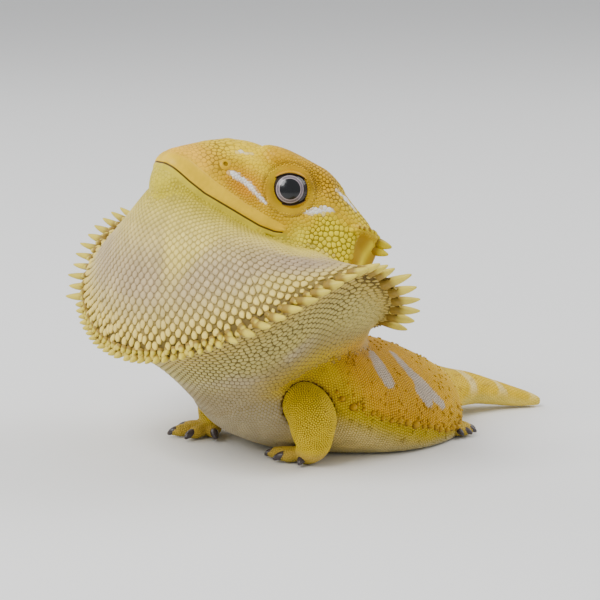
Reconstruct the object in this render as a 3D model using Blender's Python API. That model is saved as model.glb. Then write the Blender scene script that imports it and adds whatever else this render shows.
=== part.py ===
"""Bearded dragon figure: a painted, big-headed model of an inland bearded dragon
with its beard puffed out, lying on its belly with the chest raised on short arms.

The animal faces -Y and its left side is +X. The tables are in millimetres, counted
from the point on the floor between the forefeet, and the meshes are in metres.
"""

import math

import bmesh
import bpy
import numpy as np
from mathutils import Matrix, Vector

MM = 0.001
GAP = 0.3  # clearance between touching pieces
CENTRE_Y = 26.7  # the middle of the figure lies this far behind the forefeet

# ---- head: stations along the mouth line, in a frame pitched nose-up --------------------
HEAD_FRONT = (-24.5, 73.3)  # y and z of the mouth's front end
HEAD_PITCH = math.radians(35)
HEAD_STEPS = 22
UNDER_ROUNDNESS = 2.4  # 2 is an oval, more is squarer
#   along, half width, height of the widest line, top, bottom, roundness above that line
HEAD_STATIONS = (
    (-0.4, 2.0, 1.6, 3.6, -1.8, 2.0),
    (0.6, 3.8, 2.0, 5.6, -4.6, 2.0),
    (2.4, 5.4, 2.0, 7.3, -6.8, 2.0),
    (5.5, 7.2, 2.0, 10.0, -8.4, 2.0),
    (10.0, 9.5, 2.0, 13.6, -9.8, 2.1),
    (15.0, 12.0, 2.4, 16.7, -10.6, 2.3),
    (20.0, 14.3, 3.0, 18.7, -11.0, 2.6),
    (26.0, 17.0, 3.6, 19.4, -11.0, 3.0),
    (33.0, 19.6, 4.4, 19.3, -11.0, 3.8),
    (41.0, 21.8, 5.4, 18.0, -10.0, 4.6),
    (48.0, 22.6, 6.2, 16.2, -8.0, 4.8),
    (53.5, 20.5, 6.2, 14.0, -5.0, 4.0),
    (57.0, 14.0, 5.5, 11.0, -1.0, 3.0),
)
BROW = dict(along=30.0, side=10.6, height=16.6, radii=(6.2, 13.0, 4.0), turn=-12)
EYE_CENTRE = (12.2, 4.4, 66.4)
EYE_FACING = (0.83, -0.50, 0.22)
EYE_RADIUS, LID_RADIUS, EYE_OPENING = 5.6, 6.9, 3.9
EYE_STEPS = (14, 8)
EAR_SPIKES = (  # along, side, height, length, radius
    (52.0, 20.6, 12.8, 6.0, 1.7),
    (52.5, 21.4, 9.4, 4.6, 1.4),
    (51.5, 17.0, 14.0, 3.6, 1.3),
)

# ---- puffed throat: three closed rings joined by bulging faces --------------------------
#   half width, y of the widest point, front y, back y, front z, side z, back z
JAW_RING = (18.0, 3.0, -24.5, 25.0, 69.5, 54.5, 41.5)
RIM_RING = (49.5, -1.0, -35.3, 31.0, 28.8, 53.2, 28.0)
NECK_RING = (20.0, 9.0, -9.0, 34.0, 9.0, 22.5, 25.0)
UPPER_BULGE, SIDE_BULGE, UNDER_BULGE = 3.6, -1.0, -3.0
BULGE_TURN = (50, 85)  # degrees from the front over which the upper bulge gives way to the side's
UPPER_SHARES = (0, 0.2, 0.42, 0.64, 0.83, 0.97)  # where the rings between jaw and rim lie
UNDER_SHARES = (0.03, 0.2, 0.4, 0.6, 0.8, 1.0)
RIM_STEPS, RIM_POWER = 40, 1.5
SPIKE_SIDES = 5
SPIKE_SWEEP = (0.55, -0.12)  # how much the spikes at the left and right side point back
SPIKE_LIFT = ((0, 50, 100, 150), (-0.4, 0.0, 0.5, -0.25))  # how much they point up, by angle
THROAT_CUT = ((-14.0, 12.0), (10.0, 58.0))  # y, and z, of two points on the beard's parting plane

#   rows of spikes on each side of the rim: first and last angle from the front, count, length, radius
BEARD_SPIKES = ((2.2, 37.0, 12, 2.0, 0.9), (41.0, 100.0, 13, 4.6, 1.2))
NECK_SPIKES = ((107.0, 150.0, 7, 5.4, 1.6),)

# ---- trunk and tail ---------------------------------------------------------------------
#   y, half width, height of the widest line, top, bottom, roundness below that line
TRUNK_STATIONS = (
    (-10.0, 10.0, 17.0, 25.0, 10.0, 2.2),
    (-5.0, 15.5, 17.6, 29.0, 5.4, 2.2),
    (2.0, 20.6, 17.8, 32.0, 1.8, 2.2),
    (9.0, 25.0, 16.8, 32.6, -0.6, 2.3),
    (17.0, 28.0, 13.6, 31.2, -2.0, 2.6),
    (26.0, 29.3, 9.8, 28.6, -2.6, 3.2),
    (35.0, 28.6, 7.0, 25.8, -2.8, 3.8),
    (43.0, 26.6, 5.0, 23.2, -2.8, 4.0),
    (50.0, 23.4, 3.8, 20.0, -2.4, 4.0),
    (56.0, 18.4, 3.4, 16.8, -1.4, 3.4),
    (60.0, 13.0, 3.8, 14.6, 0.1, 2.6),
)
TAIL_STATIONS = (
    (60.0, 12.0, 4.0, 14.6, 0.2, 2.6),
    (66.0, 8.6, 6.0, 12.4, 1.6, 2.3),
    (72.0, 6.6, 5.8, 10.8, 1.6, 2.1),
    (78.0, 5.0, 4.5, 8.5, 0.9, 2.1),
    (84.0, 3.6, 3.0, 6.0, 0.1, 2.1),
    (88.5, 2.4, 2.0, 4.0, -0.3, 2.1),
    (90.4, 1.2, 1.8, 2.7, 0.6, 2.1),
)
BACK_ROUNDNESS = 2.1
TAIL_CURL_FROM, TAIL_CURL = 62.0, 10.5
TRUNK_STEPS, TAIL_STEPS = 26, 16
SIDE_SPIKES = dict(first=10.0, last=55.0, count=11, length=1.9, radius=1.0, tip=0.2)

# ---- limbs: the way down each leg (x, y, z, radius), and its toes -----------------------
#   way down the limb as (x, y, z, radius); x counts outwards on both sides
#   the left forefoot turns in and the right one turns out
HIND_WAY = ((13.0, 44.0, 7.0, 5.4), (19.0, 46.5, 4.0, 3.6), (19.8, 50.2, 2.2, 2.4))
LIMBS = {
    "foreleg_left": (
        (19.0, 4.0, 15.5, 5.6),
        (23.6, 3.4, 12.0, 5.8),
        (23.0, 3.8, 6.6, 4.6),
        (19.6, 4.8, 2.8, 3.2),
    ),
    "foreleg_right": (
        (18.6, 7.0, 15.0, 5.0),
        (21.8, 7.0, 11.0, 5.4),
        (20.2, 4.6, 6.5, 4.4),
        (17.0, 1.6, 2.8, 3.1),
    ),
    "hindleg_left": HIND_WAY,
    "hindleg_right": HIND_WAY,
}
#   each toe's heading (0 is outwards, -90 is forwards) and length
HIND_TOES = ((2, 3.0), (27, 4.2), (49, 5.0), (70, 5.2), (92, 4.4))
TOES = {
    "foreleg_left": ((152, 2.6), (-178, 5.4), (-150, 9.1), (-128, 5.6), (-58, 2.2)),
    "foreleg_right": ((-155, 4.0), (-98, 6.6), (-63, 9.2), (-28, 7.5), (20, 4.0)),
    "hindleg_left": HIND_TOES,
    "hindleg_right": HIND_TOES,
}
#   reach (a share of the toe's length; for the claw, millimetres past the toe), height, radius
TOE_FORM = ((0.0, 2.2, 1.9), (0.85, 1.7, 1.5))
CLAW_FORM = ((1.2, 2.0, 1.0), (3.6, 0.9, 0.45))
LIMB_SIDES, TOE_SIDES, CLAW_SIDES = 10, 7, 5

#   colour and roughness of each kind of node
FINISHES = {
    "head": ((0.72, 0.50, 0.07), 0.45),
    "lower_jaw": ((0.70, 0.58, 0.18), 0.5),
    "beard": ((0.66, 0.60, 0.34), 0.5),
    "neck": ((0.56, 0.50, 0.28), 0.5),
    "trunk": ((0.72, 0.45, 0.05), 0.5),
    "tail": ((0.75, 0.62, 0.14), 0.45),
    "foreleg": ((0.62, 0.44, 0.06), 0.5),
    "hindleg": ((0.62, 0.44, 0.06), 0.5),
    "claw": ((0.14, 0.12, 0.12), 0.3),
    "eye": ((0.01, 0.012, 0.015), 0.05),
}


def place(point):
    """A point of the tables, as a place in the model."""
    return Vector((point[0], point[1] - CENTRE_Y, point[2])) * MM


def mirrored(point, mirror):
    return (point[0] * mirror, *point[1:])


def head_place(side, along, height):
    """From the head's pitched frame to the tables' frame."""
    c, s = math.cos(HEAD_PITCH), math.sin(HEAD_PITCH)
    return np.array((side, HEAD_FRONT[0] + along * c + height * s, HEAD_FRONT[1] - along * s + height * c))


# ---- Blender helpers --------------------------------------------------------------------


def clear_scene():
    for obj in list(bpy.data.objects):
        bpy.data.objects.remove(obj)


def collection(name):
    made = bpy.data.collections.new(name)
    bpy.context.scene.collection.children.link(made)
    return made


def paint(obj):
    """Give obj its own plain material, after the kind of node that it is."""
    kind = obj.name if obj.name in FINISHES else obj.name.split("_")[0]
    colour, roughness = FINISHES[kind]
    material = bpy.data.materials.new(obj.name)
    material.use_nodes = True
    shader = material.node_tree.nodes["Principled BSDF"]
    shader.inputs["Base Color"].default_value = (*colour, 1.0)
    shader.inputs["Roughness"].default_value = roughness
    shader.inputs["Metallic"].default_value = 0.0
    obj.data.materials.clear()
    obj.data.materials.append(material)


def new_object(name, bm):
    mesh = bpy.data.meshes.new(name)
    bm.to_mesh(mesh)
    bm.free()
    obj = bpy.data.objects.new(name, mesh)
    bpy.context.scene.collection.objects.link(obj)
    return obj


def apply_modifiers(obj):
    bpy.context.view_layer.update()
    graph = bpy.context.evaluated_depsgraph_get()
    mesh = bpy.data.meshes.new_from_object(obj.evaluated_get(graph))
    obj.modifiers.clear()
    obj.data = mesh


def boolean(obj, others, operation, solver="EXACT"):
    """Join, cut or intersect obj with all the others in one step."""
    group = collection("cutters")
    for other in others:
        group.objects.link(other)
    step = obj.modifiers.new(operation.lower(), "BOOLEAN")
    step.operation, step.solver = operation, solver
    step.operand_type, step.collection = "COLLECTION", group
    apply_modifiers(obj)
    bpy.data.collections.remove(group)
    if not obj.data.polygons:
        raise RuntimeError(f"{operation} leaves nothing of {obj.name}")


def copy_of(obj, grow=0.0):
    """A helper copy of obj, grown outwards along its normals."""
    made = bpy.data.objects.new(obj.name + "_copy", obj.data.copy())
    bpy.context.scene.collection.objects.link(made)
    if grow:
        swell = made.modifiers.new("swell", "DISPLACE")
        swell.mid_level, swell.strength = 0.0, grow * MM
        apply_modifiers(made)
    return made


def remove(*objs):
    for obj in objs:
        bpy.data.objects.remove(obj)


def cut(obj, others):
    """Cut away the others with the usual clearance around them.

    A grown copy may fold over itself in its creases, which only the MANIFOLD solver takes.
    """
    grown = [copy_of(other, GAP) for other in others]
    boolean(obj, grown, "DIFFERENCE", "MANIFOLD")
    remove(*grown)
    keep_largest(obj)


def keep_largest(obj):
    """Delete the crumbs that a cut can leave beside the body itself."""
    bm = bmesh.new()
    bm.from_mesh(obj.data)
    loose, bodies = set(bm.verts), []
    while loose:
        body, edge = set(), {loose.pop()}
        while edge:
            body |= edge
            edge = {link.other_vert(vert) for vert in edge for link in vert.link_edges} - body
        loose -= body
        bodies.append(body)
    bodies.sort(key=len)
    bmesh.ops.delete(bm, geom=[vert for body in bodies[:-1] for vert in body], context="VERTS")
    bm.to_mesh(obj.data)
    bm.free()


def join(name, pieces):
    first = pieces[0]
    boolean(first, pieces[1:], "UNION")
    remove(*pieces[1:])
    first.name = name
    return first


# ---- shapes -----------------------------------------------------------------------------


def loft(name, rings):
    """A skin over closed rings of points, with a fan of faces closing each end."""
    bm = bmesh.new()
    loops = [[bm.verts.new(place(point)) for point in ring] for ring in rings]
    count = len(loops[0])
    for near, far in zip(loops, loops[1:]):
        for i in range(count):
            j = (i + 1) % count
            bm.faces.new((near[i], near[j], far[j], far[i]))
    for loop, ring in ((loops[0], rings[0]), (loops[-1], rings[-1])):
        middle = bm.verts.new(place(np.mean(ring, axis=0)))
        for i in range(count):
            bm.faces.new((loop[i], loop[(i + 1) % count], middle))
    bmesh.ops.recalc_face_normals(bm, faces=bm.faces)
    return new_object(name, bm)


def section(half_width, widest, top, bottom, shape, steps):
    """A closed cross-section of two half ovals that meet on the widest line."""
    angle = np.arange(steps) * 2 * math.pi / steps
    c, s = np.cos(angle), np.sin(angle)
    power = 2 / np.where(s > 0, shape[0], shape[1])
    side = half_width * np.sign(c) * np.abs(c) ** power
    height = widest + np.where(s > 0, top - widest, widest - bottom) * np.sign(s) * np.abs(s) ** power
    return side, height


def throat_ring(half_width, widest_y, front_y, back_y, front_z, side_z, back_z):
    """A closed ring round the neck, oval from above and saddle-shaped from the side."""
    angle = np.arange(RIM_STEPS) * 2 * math.pi / RIM_STEPS
    front, back = np.maximum(np.cos(angle), 0), np.maximum(-np.cos(angle), 0)
    y = widest_y + (front_y - widest_y) * front + (back_y - widest_y) * back
    z = side_z + (front_z - side_z) * front**RIM_POWER + (back_z - side_z) * back**RIM_POWER
    return np.stack((half_width * np.sin(angle), y, z), 1)


def bulged(start, end, share, bulge):
    """The ring at a share of the way from start to end, pushed out by the bulge."""
    chord = end - start
    along = np.roll(end, -1, 0) - np.roll(end, 1, 0)
    out = np.cross(chord, along)
    out /= np.linalg.norm(out, axis=1)[:, None]
    return start + chord * share + out * np.reshape(bulge, (-1, 1)) * math.sin(math.pi * share**0.8)


def ball(name, centre, radii, turn=None, steps=EYE_STEPS):
    bm = bmesh.new()
    bmesh.ops.create_uvsphere(bm, u_segments=steps[0], v_segments=steps[1], radius=1.0)
    stretch = Matrix.Diagonal(Vector(radii) * MM).to_4x4()
    form = Matrix.Translation(place(centre)) @ (turn or Matrix()) @ stretch
    bmesh.ops.transform(bm, matrix=form, verts=bm.verts)
    return new_object(name, bm)


def cone(name, base, direction, length, radius, tip=0.0, sides=SPIKE_SIDES, sunk=0.35):
    """A spike standing on base, sunk into what carries it by a share of its length."""
    bm = bmesh.new()
    depth = length * (1 + sunk)
    root = tip + (radius - tip) * (1 + sunk)
    bmesh.ops.create_cone(
        bm, cap_ends=True, segments=sides, radius1=root * MM, radius2=tip * MM, depth=depth * MM
    )
    direction = Vector(direction).normalized()
    middle = place(base) + direction * (depth / 2 - length * sunk) * MM
    turn = direction.to_track_quat("Z", "Y").to_matrix().to_4x4()
    bmesh.ops.transform(bm, matrix=Matrix.Translation(middle) @ turn, verts=bm.verts)
    return new_object(name, bm)


def capsule(name, start, end, steps):
    """A tapered rod with round ends between two places given as (x, y, z, radius)."""
    start, end = np.array(start, float), np.array(end, float)
    ahead = end[:3] - start[:3]
    ahead /= np.linalg.norm(ahead)
    across = np.cross(ahead, (0.31, 0.17, 0.94))
    across /= np.linalg.norm(across)
    up = np.cross(across, ahead)
    angle = np.arange(steps) * 2 * math.pi / steps
    circle = np.outer(np.cos(angle), across) + np.outer(np.sin(angle), up)
    rings = []
    for place_on_way, side in ((start, -1), (end, 1)):
        caps = [(0.8, 0.6), (0.0, 1.0)]
        for reach, width in caps if side < 0 else reversed(caps):
            rings.append(place_on_way[:3] + place_on_way[3] * (side * reach * ahead + width * circle))
    return loft(name, rings)


def slab(name, y, z, above):
    """A big box on one side of the plane that goes through two points given by their y and z."""
    (y0, y1), (z0, z1) = y, z
    tilt = math.atan2(z1 - z0, y1 - y0)
    side = 1 if above else -1
    size = 400.0
    bm = bmesh.new()
    bmesh.ops.create_cube(bm, size=size * MM)
    turn = Matrix.Rotation(tilt, 4, "X")
    lift = Matrix.Translation((0, 0, side * size / 2 * MM))
    middle = place((0, (y0 + y1) / 2, (z0 + z1) / 2))
    bmesh.ops.transform(bm, matrix=Matrix.Translation(middle) @ turn @ lift, verts=bm.verts)
    return new_object(name, bm)


# ---- the animal -------------------------------------------------------------------------


def head_whole():
    rings = []
    for along, half_width, widest, top, bottom, roundness in HEAD_STATIONS:
        side, height = section(half_width, widest, top, bottom, (roundness, UNDER_ROUNDNESS), HEAD_STEPS)
        rings.append(np.array([head_place(s, along, h) for s, h in zip(side, height)]))
    return loft("head", rings)


def facing(mirror):
    return Vector((EYE_FACING[0] * mirror, EYE_FACING[1], EYE_FACING[2])).normalized()


def eye_centre(mirror):
    return (EYE_CENTRE[0] * mirror, EYE_CENTRE[1], EYE_CENTRE[2])


def brow(mirror):
    turn = Matrix.Rotation(-HEAD_PITCH, 4, "X") @ Matrix.Rotation(math.radians(BROW["turn"] * mirror), 4, "Z")
    centre = head_place(BROW["side"] * mirror, BROW["along"], BROW["height"])
    return ball("brow", centre, BROW["radii"], turn, EYE_STEPS)


def eyelids(mirror):
    return ball("lids", eye_centre(mirror), (LID_RADIUS,) * 3, steps=EYE_STEPS)


def eyeball(name, mirror, radius=EYE_RADIUS):
    turn = facing(mirror).to_track_quat("Z", "Y").to_matrix().to_4x4()
    return ball(name, eye_centre(mirror), (radius,) * 3, turn, EYE_STEPS)


def eye_window(mirror):
    """The cutter for the gap between the lids."""
    return cone("window", eye_centre(mirror), facing(mirror), 12, EYE_OPENING - 0.6, EYE_OPENING + 1.4, EYE_STEPS[0], 0)


def ear_spikes(mirror):
    made = []
    for along, side, height, length, radius in EAR_SPIKES:
        base = head_place(side * mirror, along, height)
        out = head_place(side * mirror * 1.12, along + 4, height + 1.2) - base
        made.append(cone("ear_spike", base, out, length, radius))
    return made


def make_head():
    """The upper head and the lower jaw, parted along the mouth line."""
    pieces = [head_whole()]
    for mirror in (1, -1):
        pieces += [brow(mirror), eyelids(mirror), *ear_spikes(mirror)]
    whole = join("head", pieces)
    c, s = math.cos(HEAD_PITCH), math.sin(HEAD_PITCH)
    y, z = (HEAD_FRONT[0], HEAD_FRONT[0] + 50 * c), (HEAD_FRONT[1], HEAD_FRONT[1] - 50 * s)
    above = slab("above", y, (z[0] - GAP / 2, z[1] - GAP / 2), True)
    below = slab("below", y, (z[0] + GAP / 2, z[1] + GAP / 2), False)
    jaw = copy_of(whole)
    jaw.name = "lower_jaw"
    boolean(whole, [below], "DIFFERENCE")
    boolean(jaw, [above], "DIFFERENCE")
    remove(above, below)
    cutters = [eyeball("socket", mirror, EYE_RADIUS + GAP) for mirror in (1, -1)]
    cutters += [eye_window(mirror) for mirror in (1, -1)]
    boolean(whole, cutters, "DIFFERENCE")
    remove(*cutters)
    return whole, jaw


def throat_rings():
    jaw, rim, neck = (throat_ring(*ring) for ring in (JAW_RING, RIM_RING, NECK_RING))
    turn = np.arange(RIM_STEPS) * 360 / RIM_STEPS
    bulge = np.interp(np.minimum(turn, 360 - turn), BULGE_TURN, (UPPER_BULGE, SIDE_BULGE))
    upper = [bulged(jaw, rim, share, bulge) for share in UPPER_SHARES]
    under = [bulged(rim, neck, share, UNDER_BULGE) for share in UNDER_SHARES]
    inner = neck * 0.8 + (0, 2.5, 3.0)
    return upper + under + [inner]


def rim_spikes(rows):
    """Cones along the rim, pointing out and a little back."""
    rim = throat_ring(*RIM_RING)
    inside = (throat_ring(*JAW_RING) + throat_ring(*NECK_RING)) / 2
    degrees = np.arange(RIM_STEPS + 1) * 360 / RIM_STEPS
    made = []
    for first, last, count, length, radius in rows:
        for angle in np.linspace(first, last, count):
            base, centre = (
                np.array([np.interp(angle, degrees, np.append(ring[:, k], ring[0, k])) for k in range(3)])
                for ring in (rim, inside)
            )
            out = base - centre
            out /= np.linalg.norm(out)
            out[2] = np.interp(angle, *SPIKE_LIFT)
            for mirror, sweep in zip((1, -1), SPIKE_SWEEP):
                flip = np.array((mirror, 1, 1))
                back = np.array((0, sweep * math.sin(math.radians(angle)), 0))
                made.append(cone("spike", base * flip, out * flip + back, length, radius, sunk=0.8))
    return made


def make_throat(neighbours):
    """The beard in front of the parting plane, and the neck behind it."""
    (y0, y1), z = THROAT_CUT
    beard = loft("beard", throat_rings())
    neck = copy_of(beard)
    behind, before = slab("behind", (y0, y1), z, False), slab("before", (y0 + GAP, y1 + GAP), z, True)
    boolean(beard, [behind], "DIFFERENCE")
    boolean(neck, [before], "DIFFERENCE")
    remove(behind, before)
    beard = join("beard", [beard, *rim_spikes(BEARD_SPIKES)])
    neck = join("neck", [neck, *rim_spikes(NECK_SPIKES)])
    cut(beard, neighbours)
    cut(neck, [beard, *neighbours])
    return beard, neck


def curl(y):
    """How far the tail bends to the left at y."""
    reach = TAIL_STATIONS[-1][0] - TAIL_CURL_FROM
    return TAIL_CURL * max(0.0, (y - TAIL_CURL_FROM) / reach) ** 1.7


def flatten_on_floor(obj):
    floor = slab("floor", (-200, 200), (0, 0), False)
    boolean(obj, [floor], "DIFFERENCE")
    remove(floor)


def body_rings(stations, steps):
    rings = []
    for y, half_width, widest, top, bottom, roundness in stations:
        side, height = section(half_width, widest, top, bottom, (BACK_ROUNDNESS, roundness), steps)
        rings.append(np.stack((side + curl(y), np.full(steps, y), height), 1))
    return rings


def side_spikes():
    """The row of short spikes along each flank."""
    table = np.array(TRUNK_STATIONS)
    made = []
    for y in np.linspace(SIDE_SPIKES["first"], SIDE_SPIKES["last"], SIDE_SPIKES["count"]):
        half_width, height = (np.interp(y, table[:, 0], table[:, k]) for k in (1, 2))
        for mirror in (1, -1):
            base, out = (half_width * mirror, y, height + 1.2), (mirror, 0.35, 0.3)
            size = (SIDE_SPIKES["length"], SIDE_SPIKES["radius"], SIDE_SPIKES["tip"])
            made.append(cone("side_spike", base, out, *size))
    return made


def make_body():
    trunk = loft("trunk", body_rings(TRUNK_STATIONS, TRUNK_STEPS))
    trunk = join("trunk", [trunk, *side_spikes()])
    stations = [(TAIL_STATIONS[0][0] + GAP, *TAIL_STATIONS[0][1:]), *TAIL_STATIONS[1:]]
    tail = loft("tail", body_rings(stations, TAIL_STEPS))
    flatten_on_floor(trunk)
    flatten_on_floor(tail)
    return trunk, tail


def toe_way(root, heading, length):
    """A toe from the foot to its blunt end, and the claw that ends it, as (x, y, z, radius)."""
    ahead = (math.cos(math.radians(heading)), math.sin(math.radians(heading)))

    def at(reach, height, radius):
        return (root[0] + ahead[0] * reach, root[1] + ahead[1] * reach, height, radius)

    toe = [at(reach * length, height, radius) for reach, height, radius in TOE_FORM]
    claw = [at(TOE_FORM[-1][0] * length + reach, height, radius) for reach, height, radius in CLAW_FORM]
    return toe, claw


def make_leg(name):
    """One leg with its toes joined on, and its claws as pieces of their own."""
    mirror = 1 if name.endswith("left") else -1
    way = [mirrored(point, mirror) for point in LIMBS[name]]
    pieces = [capsule(name, near, far, LIMB_SIDES) for near, far in zip(way, way[1:])]
    claws = []
    for number, (heading, length) in enumerate(TOES[name], 1):
        toe, claw = toe_way(way[-1], heading if mirror == 1 else 180 - heading, length)
        pieces.append(capsule("toe", *toe, TOE_SIDES))
        claws.append(capsule(f"claw_{name}_{number}", *claw, CLAW_SIDES))
    limb = join(name, pieces)
    flatten_on_floor(limb)
    cut(limb, claws)
    return limb, claws


def main():
    clear_scene()
    legs, claws = [], []
    for name in LIMBS:
        limb, limb_claws = make_leg(name)
        legs.append(limb)
        claws += limb_claws
    head, jaw = make_head()
    trunk, tail = make_body()
    cut(trunk, claws)
    for limb in legs:
        cut(limb, [trunk])
    cut(head, [trunk])
    beard, neck = make_throat([head, jaw, trunk, *legs])
    eyes = [eyeball("eye_left", 1), eyeball("eye_right", -1)]

    figure = collection("bearded_dragon")
    for obj in (head, jaw, beard, neck, trunk, tail, *legs, *claws, *eyes):
        paint(obj)
        figure.objects.link(obj)
        bpy.context.scene.collection.objects.unlink(obj)


if __name__ == "__main__":
    main()
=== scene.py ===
import math

import bpy
import numpy as np
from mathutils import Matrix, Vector
from mathutils.bvhtree import BVHTree
from mathutils.kdtree import KDTree


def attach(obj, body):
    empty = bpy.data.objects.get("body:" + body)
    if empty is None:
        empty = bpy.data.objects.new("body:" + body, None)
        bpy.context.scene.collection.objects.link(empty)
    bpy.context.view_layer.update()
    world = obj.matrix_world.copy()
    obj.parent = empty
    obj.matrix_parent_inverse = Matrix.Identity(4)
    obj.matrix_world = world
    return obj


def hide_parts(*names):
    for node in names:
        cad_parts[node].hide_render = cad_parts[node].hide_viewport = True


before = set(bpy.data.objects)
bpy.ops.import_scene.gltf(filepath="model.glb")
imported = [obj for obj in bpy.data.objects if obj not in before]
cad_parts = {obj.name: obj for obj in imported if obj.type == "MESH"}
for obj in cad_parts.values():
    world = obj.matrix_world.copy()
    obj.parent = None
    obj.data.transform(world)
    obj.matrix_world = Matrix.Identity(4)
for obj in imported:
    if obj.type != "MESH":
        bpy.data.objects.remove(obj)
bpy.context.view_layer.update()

mm = 0.001
centreY = 26.7  # tables count from between the forefeet, the model from its middle
rng = np.random.default_rng(7)

# head, in a frame tipped nose-up: side, along the mouth line, height above it
head = dict(
    front=(-24.5, 73.3),
    pitch=35.0,
    underRoundness=2.4,
    rows=110,
    columns=120,
    # along, half width, widest height, top, bottom, roundness above
    stations=(
        (-0.4, 2.0, 1.6, 3.6, -1.8, 2.0), (0.6, 3.8, 2.0, 5.6, -4.6, 2.0),
        (2.4, 5.4, 2.0, 7.3, -6.8, 2.0), (5.5, 7.2, 2.0, 10.0, -8.4, 2.0),
        (10.0, 9.5, 2.0, 13.6, -9.8, 2.1), (15.0, 12.0, 2.4, 16.7, -10.6, 2.3),
        (20.0, 14.3, 3.0, 18.7, -11.0, 2.6), (26.0, 17.0, 3.6, 19.4, -11.0, 3.0),
        (33.0, 19.6, 4.4, 19.3, -11.0, 3.8), (41.0, 21.8, 5.4, 18.0, -10.0, 4.6),
        (48.0, 22.6, 6.2, 16.2, -8.0, 4.8), (53.5, 20.5, 6.2, 14.0, -5.0, 4.0),
        (57.0, 14.0, 5.5, 11.0, -1.0, 3.0),
    ),
    browCentre=(10.6, 30.0, 16.6),
    browRadii=(6.2, 13.0, 4.0),
    browTurn=-12.0,
)

eye = dict(
    centre=(12.2, 4.4, 66.4), facing=(0.83, -0.50, 0.22),
    ball=5.6, lids=6.9,  # radii of the eyeball and of the swelling round it
    pupil=2.5, ring=3.3, rows=180, columns=72,
    opening=(4.3, 3.6), corner=0.75,  # half its length and half its height, and how far its corners draw out
    socket=(4.6, 5.9, 4.9),  # the skin dips between these two reaches to this radius
    # lid from its inner edge out: share of the way to the outer edge, radius from the eye's middle
    lid=((0.0, 5.35), (0.0, 5.62), (0.1, 5.92), (0.25, 6.05), (0.45, 6.0), (0.62, 6.06), (0.78, 6.3),
         (0.9, 6.42), (1.0, 6.3), (1.08, 5.9), (1.0, 5.3), (0.5, 5.1)),
    lidOuter=6.15, upperRoll=0.28, lidColumns=144, bare=0.35,  # scales end this far inside the lid's edge
    # granules on the lid: reach from the eye's axis, count, size, radius from its middle, share of the roll
    beads=((4.75, 44, 0.2, 6.02, 0.0), (5.25, 50, 0.21, 6.06, 0.4), (5.72, 54, 0.2, 6.26, 1.0)),
    beadProfile=((-0.6, 0.8), (0.0, 1.0), (0.45, 0.86), (0.8, 0.55), (0.97, 0.2)), beadSides=6,
)

# puffed throat: three rings joined by bulging walls
throat = dict(
    # half width, y of the widest point, front y, back y, front z, side z, back z
    jawRing=(18.0, 3.0, -24.5, 25.0, 69.5, 54.5, 41.5),
    rimRing=(49.5, -1.0, -35.3, 31.0, 28.8, 53.2, 28.0),
    neckRing=(20.0, 9.0, -9.0, 34.0, 9.0, 22.5, 25.0),
    upperBulge=3.6, sideBulge=-1.0, bulgeTurn=(50, 85),  # from the front bulge to the side one, in degrees
    underBulge=-3.0, rimPower=1.5, columns=260, upperRows=34, underRows=26,
)
# rows of its grid at jaw, rim, neck and the end inside, and how far down the throat each counts
throatRows = np.cumsum((0, throat["upperRows"] - 1, throat["underRows"] - 1, 1))
throatShares = (0.0, 1.0, 2.0, 2.05)
throatEnd = 1.92  # from here on it looks like the trunk

# trunk and tail: y, half width, widest height, top, bottom, roundness below
trunk = dict(
    stations=(
        (-10.0, 10.0, 17.0, 25.0, 10.0, 2.2), (-5.0, 15.5, 17.6, 29.0, 5.4, 2.2),
        (2.0, 20.6, 17.8, 32.0, 1.8, 2.2), (9.0, 25.0, 16.8, 32.6, -0.6, 2.3),
        (17.0, 28.0, 13.6, 31.2, -2.0, 2.6), (26.0, 29.3, 9.8, 28.6, -2.6, 3.2),
        (35.0, 28.6, 7.0, 25.8, -2.8, 3.8), (43.0, 26.6, 5.0, 23.2, -2.8, 4.0),
        (50.0, 23.4, 3.8, 20.0, -2.4, 4.0), (56.0, 18.4, 3.4, 16.8, -1.4, 3.4),
        (60.0, 13.0, 3.8, 14.6, 0.1, 2.6),
    ),
    rows=90, columns=150, backRoundness=2.1,
)
tail = dict(
    stations=(
        (56.0, 15.5, 3.8, 16.2, -0.8, 3.0), (60.0, 12.0, 4.0, 14.6, 0.2, 2.6),
        (66.0, 8.6, 6.0, 12.4, 1.6, 2.3), (72.0, 6.6, 5.8, 10.8, 1.6, 2.1),
        (78.0, 5.0, 4.5, 8.5, 0.9, 2.1), (84.0, 3.6, 3.0, 6.0, 0.1, 2.1),
        (88.5, 2.4, 2.0, 4.0, -0.3, 2.1), (90.4, 1.2, 1.8, 2.7, 0.6, 2.1),
    ),
    rows=70, columns=72, curlFrom=62.0, curl=10.5,
)
skin = dict(
    cell=0.59, smooth=5, inset=0.3, floor=0.05,
    fold=(0.03, 0.10), foldSpread=4, creaseRounds=10,  # hollows of this depth count as creases and are filled
)
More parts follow.
